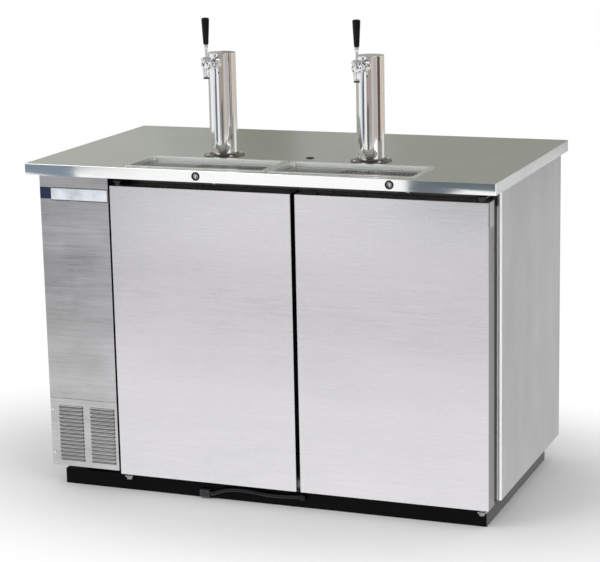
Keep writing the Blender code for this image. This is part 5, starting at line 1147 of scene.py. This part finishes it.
    def lever(self, side):
        """Ball, stem, finger and the ferrule that holds the handle, as one turned piece."""
        x, y = centre_of("tap_lever_" + side).xy
        ball_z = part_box("tap_lever_" + side)[1].z - 39 * MM
        ball = 8 * MM
        profile = [(-18.1 * MM, 0)]
        profile += arc((-16 * MM, 0), 2.1 * MM, -75, 45, 6)
        profile += [(-13.6 * MM, 1.3 * MM)]
        profile += arc((0, 0), ball, -78, 64, 20)
        profile += [(8.4 * MM, 3.2 * MM), (24 * MM, 3.2 * MM), (24.6 * MM, 4.4 * MM), (29.2 * MM, 4.4 * MM)]
        profile += [(31.2 * MM, 5.4 * MM), (32 * MM, 5.6 * MM), (38.4 * MM, 5.6 * MM)]
        profile += [(39 * MM, 5 * MM), (39 * MM, 0)]
        bm = bmesh.new()
        lathe(bm, profile, (x, y, ball_z), Z_AXIS, LATHE_STEPS)
        piece("lever_" + side, bm, "lever_" + side, "chrome", ("tap_lever_" + side,), 32)

    def handle(self, side):
        """The black grip: twelve soft flats that widen to a crowned top."""
        low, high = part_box("tap_handle_" + side)
        x, y = centre_of("tap_handle_" + side).xy
        tall = high.z - low.z
        top = (high.x - low.x) / 2
        profile = [(0, 0), (0, 6.2 * MM), (1.2 * MM, 7.0 * MM), (tall * 0.5, 8.9 * MM)]
        profile += [(tall - 6 * MM, top), (tall - 3.4 * MM, top * 0.985), (tall - 1.4 * MM, top * 0.86)]
        profile += [(tall - 0.4 * MM, top * 0.6), (tall, top * 0.3), (tall, 0)]
        bm = bmesh.new()
        lathe(bm, profile, (x, y, low.z), Z_AXIS, 12)
        flats = [
            edge
            for edge in bm.edges
            if abs(edge.verts[0].co.z - edge.verts[1].co.z) > 2 * MM
        ]
        soften(bm, flats, 0.9 * MM, 3)
        piece("grip_" + side, bm, "lever_" + side, "handle", ("tap_handle_" + side,), 26)


# Locks and plug


class KEG_OT_locks(bpy.types.Operator):
    """The key locks in the worktop's lip, with their cams, and the plug between the trays"""

    bl_idname = "keg_cooler.locks"
    bl_label = "Locks"

    def execute(self, context):
        for side in SIDES:
            low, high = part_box("lock_barrel_" + side)
            face = Vector(((low.x + high.x) / 2, low.y, (low.z + high.z) / 2))
            length = high.y - low.y
            self.collar(side, face, length, (high.x - low.x) / 2)
            self.core(side, face, length + LOCK_PLAY)
            self.cam(side, face, length + LOCK_PLAY)
        self.plug()
        return {"FINISHED"}

    def collar(self, side, face, length, radius):
        hole = LOCK_CORE + LOCK_PLAY
        profile = [(length, hole), (LOCK_DISH, hole), (0.35 * MM, LOCK_CORE + 1.4 * MM)]
        profile += [(0, LOCK_CORE + 2.2 * MM), (0, radius - 1.6 * MM), (0.25 * MM, radius - 0.6 * MM)]
        profile += [(0.7 * MM, radius), (0.95 * MM, radius), (0.95 * MM, LOCK_NECK), (length, LOCK_NECK)]
        bm = bmesh.new()
        lathe(bm, profile, face, Y_AXIS, LATHE_STEPS, ring=True)
        # The collar wears a near-black copy of the chrome: painted reflection.
        piece("lock_collar_" + side, bm, "cabinet", "lock", ("lock_barrel_" + side,), 30)

    def core(self, side, face, start):
        profile = [(0.9 * MM, 0), (0.9 * MM, LOCK_CORE - 1.2 * MM)]
        profile += [(0.6 * MM, LOCK_CORE - 0.5 * MM), (MM, LOCK_CORE)]
        profile += [(start + CAM_SHEET / 2, LOCK_CORE), (start + CAM_SHEET / 2, 0)]
        bm = bmesh.new()
        lathe(bm, profile, face, Y_AXIS, LATHE_STEPS)
        core = piece("lock_core_" + side, bm, "lock_" + side, "core", ("lock_plug_" + side,), 30)
        keyway = bmesh.new()
        block(keyway, face + Vector((-KEYWAY_WIDTH / 2, -MM, -KEYWAY_LENGTH / 2)),
              face + Vector((KEYWAY_WIDTH / 2, KEYWAY_DEPTH, KEYWAY_LENGTH / 2)))
        carve(core, keyway, crease=30)

    def cam(self, side, face, start):
        bm = bmesh.new()
        verts = block(bm, (-CAM_WIDTH / 2, start, -CAM_WIDTH / 2),
                      (CAM_ARM + CAM_PIN, start + CAM_SHEET, CAM_WIDTH / 2))
        soften(bm, running(edges_of(verts), 1), CAM_WIDTH / 4, 4)
        turn = Matrix.Translation(face) @ Matrix.Rotation(CAM_REST, 4, "Y")
        bmesh.ops.transform(bm, matrix=turn, verts=bm.verts)
        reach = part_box("lock_plug_" + side)[1].y - face.y
        profile = [(start, 0), (start, CAM_PIN), (reach - SOFT, CAM_PIN), (reach, CAM_PIN - SOFT), (reach, 0)]
        lathe(bm, profile, turn @ Vector((CAM_ARM, 0, 0)), Y_AXIS, 24)
        piece("lock_cam_" + side, bm, "lock_" + side, "nut")

    def plug(self):
        low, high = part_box("hole_plug")
        radius = (high.x - low.x) / 2
        seat = high.z - PLUG_DOME
        profile = [(low.z - seat, 0), (low.z - seat, 7 * MM), (-0.2 * MM, 7.6 * MM), (0, radius - 0.4 * MM)]
        profile += [(0.4 * MM, radius), (PLUG_DOME * 0.4, radius * 0.97), (PLUG_DOME * 0.72, radius * 0.8)]
        profile += [(PLUG_DOME * 0.93, radius * 0.5), (PLUG_DOME, radius * 0.2), (PLUG_DOME, 0)]
        bm = bmesh.new()
        lathe(bm, profile, ((low.x + high.x) / 2, (low.y + high.y) / 2, seat), Z_AXIS, LATHE_STEPS)
        piece("plug_cap", bm, "cabinet", "plug", ("hole_plug",))


# Doors


def door_span(side):
    """A door skin's box without the hinge cheek that stands off its edge."""
    low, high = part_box("door_skin_" + side)
    if side == "left":
        return low + X_AXIS * CHEEK_STAND, high
    return low, high - X_AXIS * CHEEK_STAND


class KEG_OT_doors(bpy.types.Operator):
    """The door skins, pull rails, inner panels, seals and hinge cheeks"""

    bl_idname = "keg_cooler.doors"
    bl_label = "Doors"

    def execute(self, context):
        for side in SIDES:
            body = "door_" + side
            self.skin(side, body)
            self.cheek(side, body)
            self.rail(side, body)
            self.inner_panel(side, body)
            self.seal(side, body)
        return {"FINISHED"}

    def skin(self, side, body):
        low, high = door_span(side)
        bm = bmesh.new()
        edges = edges_of(block(bm, low, high))
        bottom_sides = [edge for edge in running(edges, 1) if abs(edge.verts[0].co.z - low.z) < MERGE]
        soften(bm, on_plane(edges, 1, low.y) + bottom_sides, 1.6 * MM, 4)
        remove_faces(bm, on_plane(bm.faces, 1, high.y))
        remove_faces(bm, on_plane(bm.faces, 2, high.z))
        skin = piece("door_face_" + side, bm, body, "door", ("door_skin_" + side,))
        # Painted shade: the side faces wear a darker copy of the door steel.
        repaint(skin, "door_edge", lambda face: abs(face.normal.x) > 0.9)
        thicken(skin, SHEET)

    def cheek(self, side, body):
        low, high = door_span(side)
        near, far = low.y + CHEEK_START, low.y + CHEEK_START + CHEEK_DEPTH
        x0, x1 = (low.x - CHEEK_STAND, low.x) if side == "left" else (high.x, high.x + CHEEK_STAND)
        bm = bmesh.new()
        soft_block(bm, (x0, near, high.z - CHEEK_HEIGHT), (x1, far, high.z - 0.3 * MM), 0.4 * MM)
        # The cheek wears a darkened copy of the steel: painted shade.
        piece("hinge_cheek_" + side, bm, body, "cheek")

    def rail(self, side, body):
        low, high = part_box("door_pull_" + side)
        bm = bmesh.new()
        soft_block(bm, low, high, 1.2 * MM, 3)
        rail = piece("pull_rail_" + side, bm, body, "pull", ("door_pull_" + side,))
        groove = bmesh.new()
        near = low.y + PULL_LIP
        verts = block(groove, (low.x + PULL_END, near, high.z - PULL_GROOVE_DEPTH),
                      (high.x - PULL_END, near + PULL_GROOVE, high.z + 10 * MM))
        soften(groove, running(edges_of(verts), 0), 3 * MM, 3)
        carve(rail, groove)

    def inner_panel(self, side, body):
        low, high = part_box("door_core_" + side)
        bm = bmesh.new()
        block(bm, low, (high.x, high.y - 8 * MM, high.z))
        bm.normal_update()
        back = max(bm.faces, key=lambda face: face.calc_center_median().y)
        for inset, rise in ((5 * MM, 4 * MM), (44 * MM, 0), (3 * MM, 4 * MM)):
            bmesh.ops.inset_region(bm, faces=[back], thickness=inset, use_even_offset=True)
            bmesh.ops.translate(bm, vec=(0, rise, 0), verts=back.verts)
        edges = [edge for edge in bm.edges if edge.calc_face_angle(0) > math.radians(20)]
        soften(bm, edges, MM, 2)
        piece("door_lining_" + side, bm, body, "door_liner", ("door_core_" + side,))

    def seal(self, side, body):
        low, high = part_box("door_gasket_" + side)
        near, far = low.y, high.y
        deep = far - near
        wide = 18 * MM
        profile = [(0, near), (0, near + deep * 0.25), (1.6 * MM, near + deep * 0.42), (MM, near + deep * 0.58)]
        profile += [(3 * MM, near + deep * 0.72), (3 * MM, far - 0.6 * MM), (3.6 * MM, far)]
        profile += [(wide - inset, y) for inset, y in reversed(profile)]
        bm = bmesh.new()
        swept_frame(bm, low, high, profile)
        piece("seal_" + side, bm, body, "rubber", ("door_gasket_" + side,), 50)


# Machine compartment


def folded_front(bm, low, high):
    """A sheet folded back at both sides, open at its back, top and bottom."""
    edges = edges_of(block(bm, low, high))
    fold = [edge for edge in running(edges, 2) if abs(edge.verts[0].co.y - low.y) < MERGE]
    soften(bm, fold, 1.2 * MM, 4)
    for axis, value in ((1, high.y), (2, low.z), (2, high.z)):
        remove_faces(bm, on_plane(bm.faces, axis, value))


def louvre(bm, left, right, mouth_z, face_y):
    """One pressed hood: an arc drawn along X, its ends turned back into the sheet."""
    radius = LOUVRE_RISE
    points = []
    for step in range(LOUVRE_ARC_STEPS + 1):
        angle = math.pi / 2 * step / LOUVRE_ARC_STEPS
        points.append((face_y - LOUVRE_RISE * math.sin(angle), mouth_z + LOUVRE_HEIGHT * math.cos(angle)))
    verts = [bm.verts.new((left + radius, y, z)) for y, z in points]
    edges = [bm.edges.new(pair) for pair in zip(verts, verts[1:])]
    bmesh.ops.spin(
        bm, geom=verts + edges, cent=(left + radius, face_y, mouth_z), axis=Z_AXIS, angle=-math.pi / 2,
        steps=LOUVRE_ARC_STEPS, use_duplicate=True,
    )
    drawn = bmesh.ops.extrude_edge_only(bm, edges=edges)["geom"]
    ends = [item for item in drawn if isinstance(item, bmesh.types.BMVert)]
    bmesh.ops.translate(bm, vec=(right - left - radius * 2, 0, 0), verts=ends)
    far_edges = [item for item in drawn if isinstance(item, bmesh.types.BMEdge)
                 and all(abs(vert.co.x - (right - radius)) < MERGE for vert in item.verts)]
    bmesh.ops.spin(
        bm, geom=ends + far_edges, cent=(right - radius, face_y, mouth_z), axis=Z_AXIS, angle=math.pi / 2,
        steps=LOUVRE_ARC_STEPS, use_duplicate=True,
    )


def louvre_places():
    """Each hood's left end and mouth height."""
    low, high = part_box("louvre_grille")
    for column in range(2):
        left = low.x + LOUVRE_LEFT_MARGIN + (LOUVRE_LENGTH + LOUVRE_MIDDLE_GAP) * column
        for row in range(LOUVRE_ROWS):
            yield left, high.z - LOUVRE_TOP_MARGIN - LOUVRE_PITCH * row - LOUVRE_HEIGHT


class KEG_OT_compartment(bpy.types.Operator):
    """The machine compartment's panel, louvred grille, blank badge and screws"""

    bl_idname = "keg_cooler.compartment"
    bl_label = "Machine compartment"

    def execute(self, context):
        low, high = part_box("front_panel")
        bm = bmesh.new()
        folded_front(bm, low, high)
        panel = piece("machine_panel", bm, "cabinet", "panel", ("front_panel",))
        thicken(panel, SHEET)
        self.grille(high.y)
        self.badge(low.y)
        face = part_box("louvre_grille")[1].y - GRILLE_DEPTH
        places = [Vector((x, face, z)) for x, z in GRILLE_SCREWS]
        screws("grille_screws", places, -Y_AXIS, radius=3.6 * MM, height=1.8 * MM)
        return {"FINISHED"}

    def grille(self, back):
        low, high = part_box("louvre_grille")
        face_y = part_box("front_panel")[0].y
        bm = bmesh.new()
        folded_front(bm, Vector((low.x, face_y, low.z)), Vector((high.x, back, high.z)))
        sheet = piece("grille_sheet", bm, "cabinet", "grille", ("louvre_grille",))
        thicken(sheet, SHEET)
        slots = bmesh.new()
        for left, z in louvre_places():
            block(slots, (left + 1.6 * MM, face_y - 3 * MM, z - LOUVRE_SLOT),
                  (left + LOUVRE_LENGTH - 1.6 * MM, face_y + 4 * MM, z + LOUVRE_HEIGHT * 0.7))
        carve(sheet, slots)
        hoods = bmesh.new()
        for left, z in louvre_places():
            louvre(hoods, left, left + LOUVRE_LENGTH, z, face_y + 0.1 * MM)
        # The hoods wear a darkened copy of the grille steel: painted shade.
        made = piece("grille_hoods", hoods, "cabinet", "hood", (), 50)
        thicken(made, LOUVRE_WALL, even=False)

    def badge(self, face):
        """A bare plate and a bare tile, where such a cooler carries its badge."""
        for name, corners, stand, finish, slot in (
            ("badge_plate", BADGE_PLATE, BADGE_STAND, "plate", "brushed_steel"),
            ("badge_rim", BADGE_RIM, BADGE_STAND / 2, "cheek", "polished_steel"),
            ("badge_tile", BADGE_TILE, BADGE_STAND, "tile", "dark_plastic"),
        ):
            (x0, z0), (x1, z1) = corners
            bm = bmesh.new()
            verts = block(bm, (x0, face - stand, z0), (x1, face + 0.1 * MM, z1))
            soften(bm, running(edges_of(verts), 1), 1.2 * MM, 3)
            soften(bm, on_plane(bm.edges, 1, face - stand), stand * 0.3, 2)
            piece(name, bm, "cabinet", finish)


# Cabinet skins


class KEG_OT_skins(bpy.types.Operator):
    """The folded side skin, the back's screws and its power inlet"""

    bl_idname = "keg_cooler.skins"
    bl_label = "Cabinet skins"

    def execute(self, context):
        low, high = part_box("right_side_panel")
        bm = bmesh.new()
        edges = edges_of(block(bm, low, high))
        fold = [edge for edge in running(edges, 2)
                if abs(edge.verts[0].co.y - low.y) < MERGE and abs(edge.verts[0].co.x - high.x) < MERGE]
        soften(bm, fold, 4.5 * MM, 6)
        for axis, value in ((0, low.x), (1, high.y), (2, low.z), (2, high.z)):
            remove_faces(bm, on_plane(bm.faces, axis, value))
        # The side skin wears a darker copy of the brushed steel: painted shade.
        skin = piece("side_skin", bm, "cabinet", "side", ("right_side_panel",))
        # Painted highlight: the front fold and return wear a near-white copy of the side steel.
        repaint(skin, "fold", lambda face: face.normal.y < -0.05)
        thicken(skin, SHEET)

        low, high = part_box("back_panel")
        inset = 12 * MM
        places = []
        for z in (low.z + inset, (low.z * 2 + high.z) / 3, (low.z + high.z * 2) / 3, high.z - inset):
            places += [Vector((low.x + inset, high.y, z)), Vector((high.x - inset, high.y, z))]
        for share in (0.25, 0.5, 0.75):
            x = low.x + (high.x - low.x) * share
            places += [Vector((x, high.y, low.z + inset)), Vector((x, high.y, high.z - inset))]
        screws("back_screws", places, Y_AXIS, radius=4 * MM, height=2 * MM)

        inlet_x = low.x + 66 * MM
        inlet_z = low.z + 40 * MM
        bm = bmesh.new()
        verts = block(bm, (inlet_x - 26 * MM, high.y - 0.2 * MM, inlet_z - 16 * MM),
                      (inlet_x + 26 * MM, high.y + 5 * MM, inlet_z + 16 * MM))
        soften(bm, running(edges_of(verts), 1), 5 * MM, 4)
        soften(bm, on_plane(bm.edges, 1, high.y + 5 * MM), 1.2 * MM, 2)
        inlet = piece("power_inlet", bm, "cabinet", "dark")
        recess = bmesh.new()
        verts = block(recess, (inlet_x - 14 * MM, high.y + 0.6 * MM, inlet_z - 9 * MM),
                      (inlet_x + 14 * MM, high.y + 9 * MM, inlet_z + 9 * MM))
        soften(recess, running(edges_of(verts), 1), 3 * MM, 3)
        carve(inlet, recess)
        bm = bmesh.new()
        for x, z in ((-7 * MM, -2 * MM), (0, 3 * MM), (7 * MM, -2 * MM)):
            soft_block(bm, (inlet_x + x - MM, high.y + 0.4 * MM, inlet_z + z - 2.4 * MM),
                       (inlet_x + x + MM, high.y + 4.4 * MM, inlet_z + z + 2.4 * MM), 0.3 * MM)
        piece("inlet_pins", bm, "cabinet", "nut")
        return {"FINISHED"}


# Base, hinges and drain


class KEG_OT_base(bpy.types.Operator):
    """The hinge brackets and the drain on the black base"""

    bl_idname = "keg_cooler.base"
    bl_label = "Base and hinges"

    def execute(self, context):
        for side in SIDES:
            self.lower_bracket(side)
            self.upper_bracket(side)
        self.drain()
        return {"FINISHED"}

    def plate(self, bm, low, high, hinge_y):
        verts = block(bm, low, high)
        nose = [edge for edge in running(edges_of(verts), 2) if edge.verts[0].co.y < hinge_y]
        soften(bm, nose, (high[0] - low[0]) * 0.42, 8)
        rim = [edge for edge in bm.edges if abs(edge.verts[0].co.z - edge.verts[1].co.z) < MERGE]
        soften(bm, rim, 0.5 * MM, 2)

    def lower_bracket(self, side):
        low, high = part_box("hinge_lower_" + side)
        x = (low.x + high.x) / 2
        hinge_y = low.y + HINGE_SETBACK
        plate_z = HINGE_PLATE_Z
        bm = bmesh.new()
        self.plate(bm, (low.x, low.y, plate_z), (high.x, high.y, plate_z + HINGE_PLATE), hinge_y)
        lathe(bm, [(low.z, 0), (low.z, 5 * MM), (low.z + 1.6 * MM, 7.6 * MM),
                   (plate_z, 7.8 * MM), (plate_z, 0)],
              (x, hinge_y, 0), Z_AXIS, 6)
        top = plate_z + HINGE_PLATE
        lathe(bm, [(top, 0), (top, 8.4 * MM), (top + 0.4 * MM, 9 * MM), (top + 2.4 * MM, 9 * MM),
                   (top + 2.9 * MM, 8.4 * MM), (top + 2.9 * MM, 4 * MM),
                   (high.z - MM, 4 * MM), (high.z, 3 * MM),
                   (high.z, 0)], (x, hinge_y, 0), Z_AXIS, 32)
        # The bracket wears a darkened copy of the chrome: painted shade.
        piece("bracket_lower_" + side, bm, "cabinet", "hinge", ("hinge_lower_" + side,), 30)

    def upper_bracket(self, side):
        low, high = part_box("hinge_upper_" + side)
        x = (low.x + high.x) / 2
        hinge_y = low.y + HINGE_SETBACK
        bm = bmesh.new()
        self.plate(bm, (low.x, low.y, high.z - HINGE_PLATE), high, hinge_y)
        soft_block(bm, (low.x, high.y - HINGE_PLATE, high.z - 16 * MM), (high.x, high.y, high.z - 2 * MM))
        door_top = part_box("door_pull_" + side)[1].z
        lathe(bm, [(low.z, 0), (low.z, 3 * MM), (low.z + MM, 4 * MM), (door_top + 0.3 * MM, 4 * MM),
                   (door_top + 0.3 * MM, 8.6 * MM), (door_top + 0.8 * MM, 9 * MM), (high.z - 2 * MM, 9 * MM),
                   (high.z - 2 * MM, 0)], (x, hinge_y, 0), Z_AXIS, 32)
        # The bracket wears a near-black copy of plated metal: painted shade.
        piece("bracket_upper_" + side, bm, "cabinet", "bracket", ("hinge_upper_" + side,), 30)

    def drain(self):
        """The clip, the short hose that sags from it, and the elbow that leads under the cabinet."""
        low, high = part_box("drain_hose")
        middle = (low.y + high.y) / 2
        block_right = low.x + 27 * MM
        elbow_left = high.x - 15 * MM
        bm = bmesh.new()
        soft_block(bm, (low.x, low.y, low.z), (block_right, high.y, low.z + 20 * MM), 1.8 * MM, 3)
        for index in range(3):
            x = low.x + (6 + 7 * index) * MM
            soft_block(bm, (x, low.y, low.z + 2 * MM), (x + 2.4 * MM, low.y + MM, low.z + 18 * MM), 0.4 * MM)
        piece("drain_clip", bm, "cabinet", "clip")
        run = elbow_left + 7.5 * MM - block_right
        heights = (15, 16, 27, 32, 31, 27, 27, 30, 30)
        shares = (0, 0.04, 0.16, 0.3, 0.46, 0.62, 0.78, 0.94, 1)
        route = [(block_right - 13 * MM, middle, 15 * MM)]
        route += [(block_right + run * share, middle, z * MM) for share, z in zip(shares, heights)]
        hose = tube(smooth_path(route, 8), 5.5 * MM, 5)
        piece("drain_tube", hose, "cabinet", "drain", ("drain_hose",), 60)
        bm = bmesh.new()
        soft_block(bm, (elbow_left, low.y, high.z - 15 * MM), (high.x, high.y, high.z), 3.4 * MM, 4)
        piece("drain_elbow", bm, "cabinet", "drain")


# Inside


class KEG_OT_inside(bpy.types.Operator):
    """What shows when a door is open: the floor runners and the blower guard"""

    bl_idname = "keg_cooler.inside"
    bl_label = "Inside"

    def execute(self, context):
        low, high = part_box("liner")
        bm = bmesh.new()
        count = 14
        wall = 1.3 * MM
        pitch = (high.x - low.x - wall * 2) / count
        for index in range(count):
            x = low.x + wall + pitch * (index + 0.5)
            soft_block(bm, (x - 8 * MM, low.y + 12 * MM, low.z + MM),
                       (x + 8 * MM, high.y - 12 * MM, low.z + 4 * MM),
                       1.2 * MM)
        piece("floor_runners", bm, "cabinet", "liner")

        centre = centre_of("evaporator_fan")
        case_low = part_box("evaporator_case")[0]
        bm = bmesh.new()
        for radius in (20, 32, 44, 56, 66):
            ring = [(0.8 * MM * math.sin(a), radius * MM + 0.8 * MM * math.cos(a))
                    for a in (math.tau * k / 8 for k in range(8))]
            lathe(bm, ring, (centre.x, case_low.y - MM, centre.z), Y_AXIS, 40, ring=True)
        for index in range(6):
            angle = math.tau * index / 6
            out = Vector((math.cos(angle), 0, math.sin(angle)))
            start = Vector((centre.x, case_low.y - 0.6 * MM, centre.z)) + out * 14 * MM
            lathe(bm, [(0, 0), (0, 0.8 * MM), (55 * MM, 0.8 * MM), (55 * MM, 0)], start, out, 8)
        piece("blower_guard", bm, "cabinet", "nut")
        return {"FINISHED"}


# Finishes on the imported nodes


class KEG_OT_finishes(bpy.types.Operator):
    """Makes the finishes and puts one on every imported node"""

    bl_idname = "keg_cooler.finishes"
    bl_label = "Finishes"

    def execute(self, context):
        FINISH.update(make_finishes(context.scene))
        dressed = set()
        for finish, stems in NODE_FINISHES.items():
            for name in (stem + end for stem in stems for end in (SIDES if stem.endswith("_") else ("",))):
                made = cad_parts[name]
                made.data.materials.clear()
                made.data.materials.append(FINISH[finish])
                dressed.add(name)
        bare = sorted(set(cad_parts) - dressed)
        if bare:
            raise RuntimeError(f"these nodes have no finish: {bare}")
        return {"FINISHED"}


# Studio


def glow(name, colour):
    """A plain light-giving material for a reflector card."""
    made = bpy.data.materials.new(name)
    made.use_nodes = True
    tree = made.node_tree
    tree.nodes.clear()
    emission = tree.nodes.new("ShaderNodeEmission")
    emission.inputs["Color"].default_value = (*colour, 1)
    output = tree.nodes.new("ShaderNodeOutputMaterial")
    tree.links.new(emission.outputs["Emission"], output.inputs["Surface"])
    return made


def mirror_rays(tree):
    """One for rays that left a mirror or glass."""
    path = tree.nodes.new("ShaderNodeLightPath")
    return combine(tree, path.outputs["Is Glossy Ray"], path.outputs["Is Transmission Ray"], "MAXIMUM")


def seen_rays(tree):
    """One for camera, mirror and glass rays, nought for the light that falls on the object."""
    path = tree.nodes.new("ShaderNodeLightPath")
    return combine(tree, path.outputs["Is Camera Ray"], mirror_rays(tree), "MAXIMUM")


class KEG_OT_studio(bpy.types.Operator):
    """The camera, floor, lamps, white surroundings and reflector cards"""

    bl_idname = "keg_cooler.studio"
    bl_label = "Studio"

    def execute(self, context):
        settings = context.scene.keg_studio
        context.scene.view_settings.view_transform = "Standard"
        self.camera(context.scene)
        self.surroundings(context.scene, settings)
        self.floor(settings)
        self.lamp("key", KEY_PLACE, KEY_SIZE, settings.key_power)
        self.lamp("fill", FILL_PLACE, FILL_SIZE, settings.fill_power)
        self.cards()
        return {"FINISHED"}

    def camera(self, scene):
        data = bpy.data.cameras.new("camera")
        data.sensor_width = SENSOR_WIDTH
        data.lens = CAMERA_LENS
        made = bpy.data.objects.new("camera", data)
        back = -Vector(CAMERA_AHEAD).normalized()
        right = Vector(CAMERA_RIGHT).normalized()
        up = back.cross(right).normalized()
        right = up.cross(back)
        turn = Matrix((right, up, back)).transposed().to_4x4()
        made.matrix_world = Matrix.Translation(CAMERA_PLACE) @ turn
        scene.collection.objects.link(made)
        scene.camera = made

    def surroundings(self, scene, settings):
        world = bpy.data.worlds.new("studio")
        world.use_nodes = True
        tree = world.node_tree
        background = tree.nodes["Background"]
        background.inputs["Color"].default_value = (1, 1, 1, 1)
        mix = tree.nodes.new("ShaderNodeMapRange")
        mix.inputs["To Min"].default_value = settings.ambient
        mix.inputs["To Max"].default_value = 1
        tree.links.new(seen_rays(tree), mix.inputs["Value"])
        tree.links.new(mix.outputs["Result"], background.inputs["Strength"])
        scene.world = world

    def floor(self, settings):
        """A pale floor that keeps the object's shadow and fades to white away from it."""
        bm = bmesh.new()
        bmesh.ops.create_grid(bm, x_segments=1, y_segments=1, size=FLOOR_SIZE)
        floor = placed("floor", bm)
        graph = Graph("pale_floor")
        graph.fix(Base_Color=(*settings.floor_colour, 1), Roughness=0.9, Specular_IOR_Level=0.0)
        length = graph.add("ShaderNodeVectorMath", operation="LENGTH")
        graph.join(graph.place(SHADOW_OVAL), length.inputs[0])
        fade = graph.remap(length.outputs["Value"], FADE_START, FADE_END, 0, 1)
        fade.node.interpolation_type = "SMOOTHSTEP"
        far = graph.sum(fade, seen_rays(graph.tree), "MULTIPLY")
        mix = graph.add("ShaderNodeMixShader")
        graph.join(graph.sum(far, mirror_rays(graph.tree), "MAXIMUM"), mix.inputs["Fac"])
        graph.join(graph.shader.outputs["BSDF"], mix.inputs[1])
        graph.join(graph.add("ShaderNodeEmission").outputs["Emission"], mix.inputs[2])
        graph.join(mix.outputs["Shader"], graph.tree.nodes["Material Output"].inputs["Surface"])
        floor.data.materials.append(graph.material)

    def lamp(self, name, place, size, power):
        data = bpy.data.lights.new(name, "AREA")
        data.size = size
        data.energy = power
        made = bpy.data.objects.new(name, data)
        aim = Vector(LAMP_TARGET) - Vector(place)
        made.location = place
        made.rotation_euler = aim.to_track_quat("-Z", "Y").to_euler()
        bpy.context.scene.collection.objects.link(made)

    def cards(self):
        """Reflector cards, seen only in the polished metal."""
        for name, low, high, colour in FLAT_CARDS:
            bm = bmesh.new()
            block(bm, low, high)
            self.card(name, bm, colour)
        middle = (centre_of("column_left") + centre_of("column_right")) / 2
        for name, start, end, top, colour in ROUND_CARDS:
            bm = bmesh.new()
            out = Matrix.Rotation(math.radians(start), 4, "Z") @ Vector((CARD_DISTANCE, 0, 0))
            verts = [bm.verts.new((middle.x + out.x, middle.y + out.y, z)) for z in (CARD_LOW, top)]
            bmesh.ops.spin(
                bm, geom=verts + [bm.edges.new(verts)], cent=middle, axis=Z_AXIS,
                angle=math.radians(end - start), steps=CARD_STEPS,
            )
            self.card(name, bm, colour)

    def card(self, name, bm, colour):
        card = placed(name, bm)
        card.data.materials.append(glow(name, colour))
        card.visible_camera = False
        card.visible_diffuse = False
        card.visible_shadow = False
        card.visible_transmission = False


class KEG_PT_panel(bpy.types.Panel):
    """Lists the steps in the sidebar"""

    bl_idname = "KEG_PT_panel"
    bl_label = "Keg Cooler"
    bl_space_type = "VIEW_3D"
    bl_region_type = "UI"
    bl_category = "Keg Cooler"

    def draw(self, context):
        for step in STEPS:
            self.layout.operator(step.bl_idname)
        for group in ("keg_studio", "keg_steel", "keg_trim"):
            settings = getattr(context.scene, group)
            column = self.layout.column(align=True)
            for name in settings.__annotations__:
                column.prop(settings, name)


SETTINGS = (("keg_studio", StudioSettings), ("keg_steel", SteelSettings), ("keg_trim", TrimSettings))
STEPS = (
    KEG_OT_finishes,
    KEG_OT_worktop,
    KEG_OT_trays,
    KEG_OT_columns,
    KEG_OT_taps,
    KEG_OT_locks,
    KEG_OT_doors,
    KEG_OT_compartment,
    KEG_OT_skins,
    KEG_OT_base,
    KEG_OT_inside,
    KEG_OT_studio,
)


def register():
    for name, group in SETTINGS:
        bpy.utils.register_class(group)
        setattr(bpy.types.Scene, name, PointerProperty(type=group))
    for made in (*STEPS, KEG_PT_panel):
        bpy.utils.register_class(made)


def unregister():
    for made in (KEG_PT_panel, *reversed(STEPS)):
        bpy.utils.unregister_class(made)
    for name, group in reversed(SETTINGS):
        delattr(bpy.types.Scene, name)
        bpy.utils.unregister_class(group)


def main():
    register()
    for step in STEPS:
        category, name = step.bl_idname.split(".")
        getattr(getattr(bpy.ops, category), name)()
    for made in PIECES:
        keep_flats(made)


if __name__ == "__main__":
    main()
